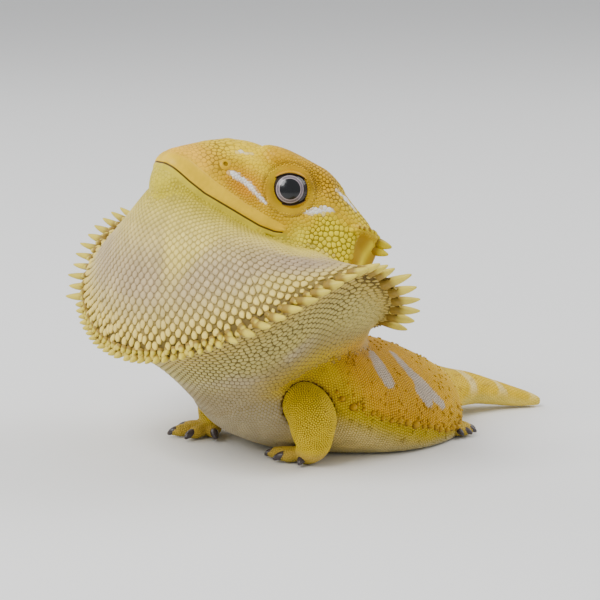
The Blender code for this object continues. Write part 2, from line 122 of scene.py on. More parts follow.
# ridges and hollows of the head: height, half width, and the way as side, along, height
relief = (
    (0.55, 1.3, ((7.6, 10.9, 10.0), (8.9, 13.6, 11.2), (10.4, 16.8, 12.6), (12.0, 19.0, 14.8))),
    (0.45, 1.3, ((12.5, 19.5, 15.6), (13.5, 22.5, 18.0), (15.6, 30.9, 18.6), (17.4, 35.5, 16.6))),
    (1.3, 1.0, ((22.2, 43.6, 10.4), (22.2, 45.5, 11.2), (22.2, 47.0, 11.7), (21.4, 50.2, 11.9))),
    (1.1, 2.2, ((19.6, 52.6, 11.0), (19.6, 53.4, 7.0))),
    (-0.7, 2.0, ((22.6, 47.6, 7.9), (21.6, 50.4, 7.0))),
    (-0.35, 1.6, ((18.6, 31.5, 2.6), (20.6, 36.5, 2.2))),
    (0.35, 1.2, ((15.2, 22.5, 3.6), (17.2, 26.0, 3.4), (18.6, 29.5, 4.4), (19.6, 33.0, 6.2))),
    (0.15, 4.0, ((0.0, 13.0, 15.0), (3.0, 15.0, 16.5), (0.0, 18.0, 18.0))),
    (0.8, 3.6, ((14.5, 34.0, 18.5), (15.5, 39.5, 17.5))),
)

# legs: the way down each leg as x outwards, y, z and radius, and each toe's heading and length
legs = dict(
    rowsEach=10, columns=40, toeRows=5, toeColumns=24,
    cell=0.34, smooth=4, soften=0.5, inset=0.12, floor=0.03,
    ways={
        "foreleg_left": ((17.5, 4.6, 17.0, 5.0), (19.5, 4.0, 15.3, 5.7), (23.4, 3.4, 12.0, 5.9),
                         (23.2, 3.8, 7.0, 4.8), (20.8, 4.5, 3.8, 3.6), (19.2, 4.8, 2.6, 3.0)),
        "foreleg_right": ((17.0, 7.2, 16.0, 4.6), (19.0, 7.0, 14.6, 5.1), (21.8, 7.0, 11.0, 5.5),
                          (20.4, 4.9, 6.7, 4.5), (18.2, 2.6, 3.8, 3.4), (16.8, 1.4, 2.6, 2.9)),
        "hindleg_left": ((13.0, 44.0, 7.0, 5.4), (16.5, 45.3, 5.4, 4.6), (19.0, 46.5, 4.0, 3.7),
                         (19.7, 49.0, 2.7, 2.8), (19.8, 50.2, 2.2, 2.4)),
    },
    toes={
        "foreleg_left": ((152, 2.6), (-178, 5.4), (-150, 9.1), (-128, 5.6), (-58, 2.2)),
        "foreleg_right": ((-155, 4.0), (-98, 6.6), (-63, 9.2), (-28, 7.5), (20, 4.0)),
        "hindleg_left": ((2, 3.0), (27, 4.2), (49, 5.0), (70, 5.2), (92, 4.4)),
    },
    # reach as a share of the toe's length, height, radius
    toeForm=((-0.05, 2.6, 1.9), (0.3, 2.35, 1.6), (0.62, 2.0, 1.7), (0.88, 1.75, 1.6), (1.06, 1.6, 1.1)),
    toeEnd=0.85,
)
for table in (legs["ways"], legs["toes"]):
    table["hindleg_right"] = table["hindleg_left"]
# the crease where a leg meets the body, with a painted shade along it, and its painted shade on scales:
# strength, full to here, none from there
seamAndShade = dict(width=0.8, depth=0.35, line=0.45, shade=(0.5, 0.3, 1.6))


def toWorld(points):
    # from the tables' millimetres to the model's metres
    return (np.asarray(points, float) - (0.0, centreY, 0.0)) * mm


def unit(vectors):
    # each vector over its own length
    return vectors / np.maximum(np.linalg.norm(vectors, axis=-1, keepdims=True), 1e-9)


def ease(x, low, high):
    # 0 below low and 1 above high, smooth between: 3t^2 - 2t^3
    t = np.clip((x - low) / (high - low), 0.0, 1.0)
    return t * t * (3.0 - 2.0 * t)


def fall(x, low, high):
    # the other way round: 1 below low and 0 above high
    return 1 - ease(x, low, high)


def throughTable(table, x):
    # a smooth curve through each column: cubic pieces from row to row, whose slope at a row is the harmonic
    # mean of the slopes before and after it
    table = np.asarray(table, float)
    xs, ys = table[:, 0], table[:, 1:]
    rise = np.diff(ys, axis=0) / np.diff(xs)[:, None]
    before, after = rise[:-1], rise[1:]
    both = np.where(before * after > 0, before * after, 0.0)
    total = before + after
    inner = np.where(both > 0, 2 * both / np.where(total == 0, 1.0, total), 0.0)
    slope = np.vstack((rise[:1], inner, rise[-1:]))
    k = np.clip(np.searchsorted(xs, x, side="right") - 1, 0, len(xs) - 2)
    gap = (xs[k + 1] - xs[k])[:, None]
    t = ((x - xs[k])[:, None] / gap)
    return ((2 * t**3 - 3 * t**2 + 1) * ys[k] + (t**3 - 2 * t**2 + t) * gap * slope[k]
            + (3 * t**2 - 2 * t**3) * ys[k + 1] + (t**3 - t**2) * gap * slope[k + 1])


def closedFaces(rows, columns):
    # quads between neighbouring rings, and a fan of triangles from an added middle point at each end
    r, c = np.meshgrid(np.arange(rows - 1), np.arange(columns), indexing="ij")
    near, far, turn = r * columns, (r + 1) * columns, (c + 1) % columns
    quads = np.stack((near + c, near + turn, far + turn, far + c), -1).reshape(-1, 4)
    ring = np.arange(columns)
    after = (ring + 1) % columns
    last = (rows - 1) * columns
    start, end = rows * columns, rows * columns + 1
    fans = np.vstack((
        np.stack((after, ring, np.full(columns, start)), 1),
        np.stack((last + ring, last + after, np.full(columns, end)), 1),
    ))
    return quads, fans


def closedLoft(grid):
    # a grid of rings as a closed shell, with the mean of its first and of its last ring as end points
    points = np.vstack((grid.reshape(-1, 3), grid[0].mean(0), grid[-1].mean(0)))
    return points, *closedFaces(*grid.shape[:2])


def joined(shells):
    # several shells' points and faces, one after another
    points, quads, fans, first = [], [], [], 0
    for shellPoints, shellQuads, shellFans in shells:
        points.append(shellPoints)
        quads.append(shellQuads + first)
        fans.append(shellFans + first)
        first += len(shellPoints)
    return np.vstack(points), np.vstack(quads), np.vstack(fans)


def newMesh(name, points, faceSets, smooth=True):
    # the faces' corners go into the mesh as whole arrays, and each face starts where the one before it ends
    mesh = bpy.data.meshes.new(name)
    corners = [np.asarray(faces, np.int32) for faces in faceSets if len(faces)]
    sizes = np.concatenate([np.full(len(faces), faces.shape[1]) for faces in corners])
    mesh.vertices.add(len(points))
    mesh.vertices.foreach_set("co", toWorld(points).astype(np.float32).ravel())
    mesh.loops.add(int(sizes.sum()))
    mesh.loops.foreach_set("vertex_index", np.concatenate([faces.ravel() for faces in corners]))
    mesh.polygons.add(len(sizes))
    mesh.polygons.foreach_set("loop_start", (np.cumsum(sizes) - sizes).astype(np.int32))
    mesh.update(calc_edges=True)
    if smooth:
        mesh.shade_smooth()
    piece = bpy.data.objects.new(name, mesh)
    bpy.context.scene.collection.objects.link(piece)
    return piece


def fused(name, shells, cell):
    # the shells' union, as one skin of even squares
    points, quads, fans = joined(shells)
    piece = newMesh(name, points, (quads, fans))
    step = piece.modifiers.new("fuse", "REMESH")
    step.mode, step.voxel_size, step.use_smooth_shade = "VOXEL", cell * mm, True
    bpy.context.view_layer.update()
    mesh = bpy.data.meshes.new_from_object(piece.evaluated_get(bpy.context.evaluated_depsgraph_get()))
    piece.modifiers.clear()
    piece.data = mesh
    piece.data.name = name
    return piece


def readAll(items, field, width, kind=np.float32):
    # one field of every item, a row each
    values = np.empty(len(items) * width, kind)
    items.foreach_get(field, values)
    return values.reshape(-1, width)


def pointsOf(piece):
    # back from the model's metres to the tables' millimetres
    return readAll(piece.data.vertices, "co", 3).astype(float) / mm + (0.0, centreY, 0.0)


def setPoints(piece, points):
    # from the tables' millimetres into the mesh
    piece.data.vertices.foreach_set("co", toWorld(points).astype(np.float32).ravel())
    piece.data.update()


def normalsOf(piece):
    # the smooth normal at each point
    return readAll(piece.data.vertices, "normal", 3).astype(float)


def edgesOf(piece):
    # the two points of each edge
    return readAll(piece.data.edges, "vertices", 2, np.int32)


def cornersOf(piece):
    # the point at each corner of each face
    return readAll(piece.data.loops, "vertex_index", 1, np.int32).ravel()


def averaged(values, edges):
    # the mean of each point's neighbours: the sum over its edges' other ends, divided by their number
    count, (start, end) = len(values), edges.T
    total = np.stack([np.bincount(start, column[end], count) + np.bincount(end, column[start], count)
                      for column in values.T], 1)
    return total / np.maximum(np.bincount(edges.ravel(), minlength=count), 1)[:, None]


def pulled(points, edges, pull):
    # each point goes this share of the way to its neighbours' mean
    return points + (averaged(points, edges) - points) * pull


def smoothed(points, edges, rounds):
    # each round pulls the points together, and then a little back, so that the form keeps its size
    for _ in range(rounds):
        points = pulled(pulled(points, edges, 0.5), edges, -0.52)
    return points


def tipped():
    # cosine and sine of the head's pitch
    pitch = math.radians(head["pitch"])
    return math.cos(pitch), math.sin(pitch)


def headPlace(side, along, height):
    # from the head's frame: its along and height axes are turned nose-up and start at its front
    c, s = tipped()
    y, z = head["front"]
    return np.stack((side, y + along * c + height * s, z - along * s + height * c), -1)


def headLocal(points):
    # into the head's frame, by the opposite turn
    c, s = tipped()
    y, z = points[:, 1] - head["front"][0], points[:, 2] - head["front"][1]
    return points[:, 0], y * c - z * s, y * s + z * c


def section(halfWidth, widest, top, bottom, above, below, columns):
    # half ovals above and below the widest line: side = w |cos|^(2/n), height = h |sin|^(2/n)
    angle = np.arange(columns) * 2 * math.pi / columns
    c, s = np.cos(angle), np.sin(angle)
    power = np.where(s > 0, 2 / above[:, None], 2 / below[:, None])
    side = halfWidth[:, None] * np.sign(c) * np.abs(c) ** power
    reach = np.where(s > 0, (top - widest)[:, None], (widest - bottom)[:, None])
    return side, widest[:, None] + reach * np.sign(s) * np.abs(s) ** power


def headGrid():
    # sections carried along the head, closer together at the snout: along = 0.65 t + 0.35 t^2 of its length
    t = np.linspace(0, 1, head["rows"])
    first, last = head["stations"][0][0], head["stations"][-1][0]
    along = first + (last - first) * (0.35 * t**2 + 0.65 * t)
    halfWidth, widest, top, bottom, above = throughTable(head["stations"], along).T
    below = np.full(len(along), head["underRoundness"])
    side, height = section(halfWidth, widest, top, bottom, above, below, head["columns"])
    return headPlace(side, np.broadcast_to(along[:, None], side.shape), height)


def ballGrid(radii, rows=40, columns=56):
    # x = a cos(up) cos(turn), y = b cos(up) sin(turn), z = c sin(up)
    up = np.linspace(-math.pi / 2 + 0.02, math.pi / 2 - 0.02, rows)[:, None]
    turn = (np.arange(columns) * 2 * math.pi / columns)[None, :]
    return np.stack((radii[0] * np.cos(up) * np.cos(turn), radii[1] * np.cos(up) * np.sin(turn),
                     radii[2] * np.sin(up) * np.ones_like(turn)), -1)


def browGrid(mirror):
    # a long ball over each eye, turned in the head's frame
    grid = ballGrid(head["browRadii"])
    a = math.radians(head["browTurn"])
    side = grid[..., 0] * math.cos(a) - grid[..., 1] * math.sin(a)
    along = grid[..., 0] * math.sin(a) + grid[..., 1] * math.cos(a)
    middle = head["browCentre"]
    made = headPlace(side + middle[0], along + middle[1], grid[..., 2] + middle[2])
    return made if mirror > 0 else flipped(made)


def flipped(grid):
    # the mirror image, with its rings run the other way so that faces still point outwards
    return grid[:, ::-1] * (-1, 1, 1)


def throatRing(halfWidth, widestY, frontY, backY, frontZ, sideZ, backZ):
    # x = a sin t; y and z run from side to front or back with cos t, z by its power
    t = np.arange(throat["columns"]) * 2 * math.pi / throat["columns"]
    front, back = np.maximum(np.cos(t), 0), np.maximum(-np.cos(t), 0)
    y = widestY + (frontY - widestY) * front + (backY - widestY) * back
    power = throat["rimPower"]
    z = sideZ + (frontZ - sideZ) * front ** power + (backZ - sideZ) * back ** power
    return np.stack((halfWidth * np.sin(t), y, z), 1)


def bulged(start, end, share, bulge):
    # the chord from ring to ring, pushed out by bulge x sin(pi share^0.8)
    chord = end - start
    out = unit(np.cross(chord, np.roll(end, -1, 0) - np.roll(end, 1, 0)))
    share = share[:, None, None]
    return start + chord * share + out * np.reshape(bulge, (-1, 1)) * np.sin(math.pi * share**0.8)


def throatGrid():
    # down from the jaw to the rim, under to the neck, and one smaller ring inside the neck
    jaw, rim, neck = (throatRing(*throat[ring]) for ring in ("jawRing", "rimRing", "neckRing"))
    turn = np.arange(throat["columns"]) * 360 / throat["columns"]
    bulges = throat["upperBulge"], throat["sideBulge"]
    bulge = np.interp(np.minimum(turn, 360 - turn), throat["bulgeTurn"], bulges)
    upper = bulged(jaw, rim, np.linspace(0, 1, throat["upperRows"]), bulge)
    under = bulged(rim, neck, np.linspace(0, 1, throat["underRows"])[1:], throat["underBulge"])
    inner = (neck * 0.8 + (0, 2.5, 3.0))[None]
    return np.concatenate((upper, under, inner))


def curl(y):
    # the tail's bend to the left: curl x t^1.7 along its length
    reach = tail["stations"][-1][0] - tail["curlFrom"]
    return tail["curl"] * np.maximum(0.0, (y - tail["curlFrom"]) / reach) ** 1.7


def stationAt(part, y, column):
    # one column of a body's table, straight between its rows
    table = np.array(part["stations"])
    return np.interp(y, table[:, 0], table[:, column])


def bodyGrid(part):
    # sections carried along the trunk or the tail, pushed sideways by the tail's bend
    y = np.linspace(part["stations"][0][0], part["stations"][-1][0], part["rows"])
    halfWidth, widest, top, bottom, below = throughTable(part["stations"], y).T
    above = np.full(len(y), trunk["backRoundness"])
    side, height = section(halfWidth, widest, top, bottom, above, below, part["columns"])
    grid = np.stack((side + curl(y)[:, None], np.broadcast_to(y[:, None], side.shape), height), -1)
    grid[..., 2] = np.maximum(grid[..., 2], skin["inset"])
    return grid


def eyeFrame(mirror):
    # the eye's middle, the way it looks, and the level and upright directions across it
    centre = np.array(eye["centre"]) * (mirror, 1, 1)
    facing = unit(np.array(eye["facing"]) * (mirror, 1, 1))
    level = unit(np.cross((0, 0, mirror), facing))
    return centre, facing, level, np.cross(facing, level) * mirror


def towardsEye(points, mirror):
    # how far ahead of the eye's middle each point lies, and how far from the eye's axis
    centre, facing, _, _ = eyeFrame(mirror)
    rel = points - centre
    ahead = rel @ facing
    return ahead, np.linalg.norm(rel - ahead[:, None] * facing, axis=1)


def ringPoints(ahead, columns, turn=1):
    # unit circles square to the way ahead, run one way round or the other (turn = 1 or -1):
    # cos(angle) x across + sin(angle) x up
    across = unit(np.cross(ahead, (0.31, 0.17, 0.94)))
    up = turn * np.cross(across, ahead)
    angle = (np.arange(columns) * 2 * math.pi / columns)[:, None]
    return np.cos(angle) * across[..., None, :] + np.sin(angle) * up[..., None, :]


def sweep(way, rowsEach, columns, caps=6):
    # a tube round the way: a ring square to the way at each step, with a half ball at each end
    way = np.asarray(way, float)
    knots = np.arange(len(way))
    t = np.linspace(0, len(way) - 1, rowsEach * (len(way) - 1) + 1)
    centre, radius = np.split(throughTable(np.column_stack((knots, way)), t), (3,), axis=1)
    radius = radius[:, 0]
    ahead = unit(np.gradient(centre, axis=0))
    turn = np.linspace(0, math.pi / 2, caps + 1)[:-1]
    startC = centre[0] - ahead[0] * (radius[0] * np.cos(turn))[:, None]
    endC = centre[-1] + ahead[-1] * (radius[-1] * np.cos(turn[::-1]))[:, None]
    startR, endR = radius[0] * np.sin(turn), radius[-1] * np.sin(turn[::-1])
    startR[0], endR[-1] = radius[0] * 0.02, radius[-1] * 0.02
    centre = np.vstack((startC, centre, endC))
    radius = np.concatenate((startR, radius, endR))
    ahead = np.vstack((np.tile(ahead[0], (caps, 1)), ahead, np.tile(ahead[-1], (caps, 1))))
    return centre[:, None] + ringPoints(ahead, columns) * radius[:, None, None]


def toeWays(name, mirror):
    # each toe's way from foot to tip, and where its claw starts and points
    root = legs["ways"][name][-1]
    ways, ends = [], []
    for heading, length in legs["toes"][name]:
        a = math.radians(heading)
        ahead = np.array((math.cos(a) * mirror, math.sin(a)))
        start = np.array((root[0] * mirror, root[1]))
        ways.append([(*(start + ahead * reach * length), height, radius)
                     for reach, height, radius in legs["toeForm"]])
        ends.append((*(start + ahead * legs["toeEnd"] * length), *ahead))
    return ways, ends


# coat: where each scale stands, how big it is and how it leans
coat = dict(
    sides=9, granuleSides=6, granuleBelow=0.78,  # scales smaller than this are simpler
    rounds=28, recount=5, crowding=1.12, push=0.32,  # rounds of settling, and how hard neighbours push
    headShare=1.12, hexagon=0.866,  # scales scattered on the head over those that fit, row's step over size
    sink=0.12, floor=0.01,
    gap=(0.985, 0.87),  # share of its cell that a scale fills, at pale and at dark lines
    # shoulder and crown of a scale: reach, height and lean as shares of the whole
    shoulder=(0.94, 0.55, 0.2), crown=(0.62, 0.93, 0.6),
    widest=0.95,  # reach as a share of the size
    corners=(0.32, 0.13, 0.2, 0.2),  # how far corners may stand out on head, throat, trunk and tail
    # share of the way from jaw (0) over the rim (1) to the neck's foot (2): size, height, lean
    throat=(
        (0.0, 0.8, 0.10, 0.0), (0.2, 1.0, 0.17, 0.02), (0.45, 1.4, 0.3, 0.05), (0.7, 1.9, 0.44, 0.12),
        (0.88, 2.2, 0.6, 0.3), (0.97, 2.3, 0.75, 0.6), (1.03, 2.1, 0.4, 0.1), (1.12, 1.95, 0.24, 0.0),
        (1.4, 1.65, 0.2, 0.0), (1.75, 1.4, 0.16, 0.0), (2.0, 1.0, 0.1, 0.0),
    ),
    longer=((0.0, 0.3, 0.6, 0.9, 1.0, 1.1, 2.0), (1.0, 1.15, 1.3, 1.3, 1.15, 1.0, 1.0)),  # length over width
    slim=0.3,  # how much narrower they are on the front
    across=74,  # scales in every ring round the throat, so that they stand in slanting lines
    # side, along, height in the head's frame: size, height, lean
    head=(
        (3, 2, 4, 0.9, 0.02, 0), (6, 6, 8, 1.15, 0.06, 0), (4, 12, 13, 1.35, 0.12, 0),
        (10, 15, 6, 0.6, 0.13, 0), (13, 18, 4, 0.6, 0.12, 0), (9, 11, 8, 1.0, 0.10, 0),
        (5, 22, 18, 1.3, 0.14, 0), (14, 24, 19, 0.95, 0.18, 0.05), (16, 32, 16, 0.95, 0.16, 0.05),
        (6, 34, 19, 1.25, 0.14, 0), (18, 24, 9, 0.55, 0.12, 0), (19, 31, 9, 0.8, 0.12, 0),
        (20, 36, 12, 1.0, 0.14, 0.05), (22, 40, 6, 1.35, 0.17, 0.06), (22, 45, 5, 1.3, 0.17, 0.06),
        (21, 38, 0, 1.15, 0.14, 0.05), (22, 50, 3, 1.2, 0.15, 0.05), (19, 46, 15, 1.15, 0.2, 0.12),
        (8, 48, 16, 1.4, 0.2, 0.1), (22, 49, 9, 0.7, 0.03, 0), (19, 29, 3, 0.8, 0.10, 0),
        (8, 6, -3, 0.65, 0.08, 0), (14, 16, -4, 0.6, 0.08, 0), (18, 28, -4, 0.62, 0.08, 0),
        (10, 55, 8, 1.6, 0.3, 0.2),
    ),
    headHeight=(0.8, 0.45),  # height's share in the net of dark lines, and how much of it goes outside
    nearEye=(8.2, 0.55), ear=(0.7, 0.03),  # reach from the eye and size there, size and height at the ear
    # share of the back's scales that stand up as knobs, how much higher, their tone, and their largest size
    knobs=dict(share=0.045, height=3.2, tone=0.72, upTo=0.8),
    strokeHeight=0.45,  # scales under a white stroke on the head are this much lower
    trunk=dict(back=0.66, flank=0.78, chest=0.95, belly=1.15, height=0.16),
    tail=dict(size=0.85, height=0.09),
    leg=dict(size=0.6, height=0.11, corners=0.25),
    pieceLimit=190000,  # triangles in one piece of coat
    stray=1.0, thin=0.5,  # sites this far off the skin are dropped, and ones closer than this share of a size
    lowest=(0.12, 0.15),  # height over the floor where scales start, on the body and on the legs
    lieFrom=(0.0, 2.0, 60.0), lieBack=(0.0, 1.0, -0.15),  # beard scales lie away from here, others this way
    blue=(0.12, 0.45),  # knobs stand where the paint has less blue than this, strokes have more than this
    beardCorners=(0.1, 0.3),  # how much further corners stand out on the beard, this far from its rim
    tilt=0.8,  # how much a leaning scale's shoulder rises on the side it leans to
    borderRounds=(30, 14),  # how often the skin's and the scales' looks flow together at the neck's foot
    vary=(0.035, 0.03, 0.04),  # how much tones differ: scales on the body, on the legs, and spikes and claws
)


def ringRows(grid, sizes, longer=1.0, across=None):
    # a row of sites stands where the summed row spacing passes a whole number; along a row the sites share
    # out the summed length over size evenly, and every second row is moved by half a step; with a set number
    # across, rows are close and their sites far apart, so that neighbours stand half a scale higher or lower
    apart = 0.5 if across else coat["hexagon"]
    step = np.linalg.norm(np.diff(grid, axis=0), axis=2)
    spacing = (step / (apart * 0.5 * (sizes[1:] + sizes[:-1]) * longer)).mean(1)
    reach = np.concatenate(([0], np.cumsum(spacing)))
    rowAt = np.interp(np.arange(0.4, reach[-1], 1.0), reach, np.arange(len(reach)))
    sites = []
    for number, at in enumerate(rowAt):
        k = min(int(at), len(grid) - 2)
        f = at - k
        ring = grid[k] * (1 - f) + grid[k + 1] * f
        size = sizes[k] * (1 - f) + sizes[k + 1] * f
        closed = np.vstack((ring, ring[:1]))
        length = np.linalg.norm(np.diff(closed, axis=0), axis=1) / size
        total = np.concatenate(([0], np.cumsum(length)))
        count = across or max(3, int(round(total[-1])))
        where = (np.arange(count) + 0.5 * (number % 2)) / count * total[-1]
        sites.append(np.stack([np.interp(where, total, column) for column in closed.T], 1))
    return np.vstack(sites)


def surfaceOf(piece):
    # the piece's points, normals and squares, with a finder for the nearest place on it
    points, normals, quads = pointsOf(piece), normalsOf(piece), cornersOf(piece).reshape(-1, 4)
    return dict(points=points, normals=normals, quads=quads,
                finder=BVHTree.FromPolygons(points.tolist(), quads.tolist()))


def onSurface(points, surface):
    # the nearest place on the surface, its smooth normal (the square's four normals, each weighed by
    # 1 / distance), and how far away it was
    found = [surface["finder"].find_nearest(point) for point in points.tolist()]
    places = np.array([hit[0] for hit in found])
    face = np.array([hit[2] for hit in found])
    corners = surface["quads"][face]
    away = np.linalg.norm(surface["points"][corners] - places[:, None], axis=2)
    weight = 1.0 / (away + 0.05)
    normals = unit((surface["normals"][corners] * weight[..., None]).sum(1))
    return places, normals, np.array([hit[3] for hit in found])


def squaresOf(surface):
    # each square's corners, and its area as half the length of its diagonals' cross product
    corners = surface["points"][surface["quads"]]
    diagonals = corners[:, 2] - corners[:, 0], corners[:, 3] - corners[:, 1]
    return corners, 0.5 * np.linalg.norm(np.cross(*diagonals), axis=1)


def scattered(corners, weight, count):
    # random places on the squares, in each as often as its weight says
    chosen = np.searchsorted(np.cumsum(weight), rng.uniform(0, weight.sum(), count))
    mix = rng.dirichlet((1, 1, 1, 1), len(chosen))
    return (corners[chosen] * mix[..., None]).sum(1)


def finderOf(points):
    # finds the nearest of these points
    tree = KDTree(len(points))
    for k, point in enumerate(points.tolist()):
        tree.insert(point, k)
    tree.balance()
    return tree


def neighboursOf(points, count=11):
    # the numbers of each point's nearest neighbours, without itself
    tree = finderOf(points)
    return np.array([[found[1] for found in tree.find_n(point, count)] for point in points.tolist()])[:, 1:]


def settled(points, sizes, surface, parts=2, longer=1.0):
    # each round pushes neighbours apart that stand closer than their sizes want, then back onto the skin;
    # longer scales measure the way they lie in longer steps
    parts, longer = np.broadcast_to(parts, sizes.shape), np.broadcast_to(longer, sizes.shape)
    for turn in range(coat["rounds"]):
        if turn % coat["recount"] == 0:
            near = neighboursOf(points)
            want = coat["crowding"] * (sizes[:, None] + sizes[near]) / 2
            ahead = lieAt(points, onSurface(points, surface)[1], parts)[:, None]
        away = points[:, None] - points[near]
        ownWay = (away * ahead).sum(2, keepdims=True)
        distance = np.linalg.norm(away - ahead * ownWay * (1 - 1 / longer)[:, None, None], axis=2)
        push = np.clip(1 - distance / want, 0, 1) * want * coat["push"]
        points = points + (away / np.maximum(distance, 1e-6)[..., None] * push[..., None]).sum(1)
        if turn % 2 or turn == coat["rounds"] - 1:
            points = onSurface(points, surface)[0]
    return points


def thinned(points, sizes):
    # drops sites that crowd another much too closely
    near = neighboursOf(points, 5)
    distance = np.linalg.norm(points[:, None] - points[near], axis=2)
    crowded = (distance < coat["thin"] * sizes[:, None]) & (near < np.arange(len(points))[:, None])
    return ~crowded.any(1)


def cellRadii(sites, few, sides):
    # each scale fills its own cell: every way it reaches divide / cos(turn to the neighbour), up to the
    # nearest dividing line with a neighbour, and the cell's far corners are rounded off
    normals, ahead, sizes = (sites[key][few] for key in ("normals", "ahead", "sizes"))
    across = np.cross(normals, ahead)
    near = sites["near"][few]
    away = sites["points"][near] - sites["points"][few][:, None]
    x = np.einsum("nkj,nj->nk", away, ahead)
    y = np.einsum("nkj,nj->nk", away, across)
    distance = np.hypot(x, y)
    bearing = np.arctan2(y, x)
    divide = distance * sizes[:, None] / (sizes[:, None] + sites["sizes"][near])
    first = bearing[:, 0] + math.pi / 6
    angle = first[:, None] + np.arange(sides) * 2 * math.pi / sides
    facing = np.cos(angle[:, None, :] - bearing[:, :, None])
    reach = np.where(facing > 0.2, divide[:, :, None] / np.maximum(facing, 0.2), 1e3).min(1)
    oval = 1 / np.hypot(np.cos(angle) / sites["longer"][few][:, None], np.sin(angle))
    reach = np.minimum(reach / oval, coat["widest"] * sizes[:, None])
    reach = np.minimum(reach, np.median(reach, axis=1)[:, None] * (1 + sites["corners"][few])[:, None])
    return reach * oval, angle


def scaleMesh(name, sites, surface, sides):
    # rings of a scale: its root under the skin, its shoulder, its crown and its peak
    points, normals, ahead = (sites[key] for key in ("points", "normals", "ahead"))
    height, lean, radii, angle = (sites[key] for key in ("heights", "leans", "radii", "angle"))
    across = np.cross(normals, ahead)
    count = len(points)
    arm = np.cos(angle)[..., None] * ahead[:, None] + np.sin(angle)[..., None] * across[:, None]
    rim = points[:, None] + arm * (radii * sites["gaps"][:, None])[..., None]
    onSkin = onSurface(rim.reshape(-1, 3), surface)[0].reshape(count, sides, 3)
    up, slant = normals[:, None] * height[:, None, None], ahead[:, None] * lean[:, None, None]
    middle = points[:, None]
    tilt = (1 + coat["tilt"] * np.minimum(lean, 1)[:, None] * np.cos(angle))[..., None]
    reach, rise, shift = coat["shoulder"]
    rings = [onSkin - normals[:, None] * coat["sink"],
             middle + (onSkin - middle) * reach + up * rise * tilt + slant * shift]
    tones = (1.0, 0.3)
    if sides > coat["granuleSides"]:
        reach, rise, shift = coat["crown"]
        rings.append(middle + (onSkin - middle) * reach + up * rise + slant * shift)
        tones = (1.0, 0.2, 0.0)
    rows = len(rings)
    allPoints = np.concatenate([*rings, middle + up + slant], axis=1)
    allPoints[..., 2] = np.maximum(allPoints[..., 2], coat["floor"])
    each = sides * rows + 1
    ring = np.arange(sides)
    after = (ring + 1) % sides
    low, high = (np.arange(sides * (rows - 1)).reshape(-1, sides) + step for step in (0, sides))
    quads = np.stack((low, low[:, after], high[:, after], high), -1).reshape(-1, 4)
    last = (rows - 1) * sides
    fan = np.stack((last + ring, last + after, np.full(sides, each - 1)), 1)
    base = ring[::-1][None]
    first = (np.arange(count) * each)[:, None, None]
    faceSets = [(part[None] + first).reshape(-1, part.shape[1]) for part in (quads, fan, base)]
    piece = newMesh(name, allPoints.reshape(-1, 3), faceSets)
    tone = np.append(np.repeat(tones, sides), 0.0)[None, :, None]
    colours = sites["colours"][:, None] * (1 - tone) + sites["grooves"][:, None] * tone
    paintPoints(piece, colours.reshape(-1, 3))
    unwrap(piece, np.repeat(points, each, axis=0), allPoints.reshape(-1, 3))
    return piece


def paintPoints(piece, colours):
    # a colour for each point of the piece, in the attribute that its material reads
    layer = piece.data.color_attributes.new("paint", "FLOAT_COLOR", "POINT")
    solid = np.column_stack((colours, np.ones(len(colours))))
    layer.data.foreach_set("color", solid.astype(np.float32).ravel())


# the map opens the body round a long axis, whose height changes along it
mapLayout = dict(axis=((-30, 0, 30, 90), (48, 40, 14, 6)), front=-40, length=134, width=0.98, patch=0.0015)


def unwrap(piece, roots, points):
    # u = half + turn round the axis / whole turn, v = way along / length, and a small patch for each scale
    layer = piece.data.uv_layers.new(name="OFBake")
    turn = np.arctan2(roots[:, 0], roots[:, 2] - np.interp(roots[:, 1], *mapLayout["axis"]))
    along = (roots[:, 1] - mapLayout["front"]) / mapLayout["length"]
    offset = (points - roots)[:, :2] / np.maximum(np.abs(points - roots).max(), 1e-6)
    flat = np.column_stack((0.5 + turn / (2 * math.pi) * mapLayout["width"], along))
    flat = flat + offset * mapLayout["patch"]
    layer.data.foreach_set("uv", flat[cornersOf(piece)].astype(np.float32).ravel())


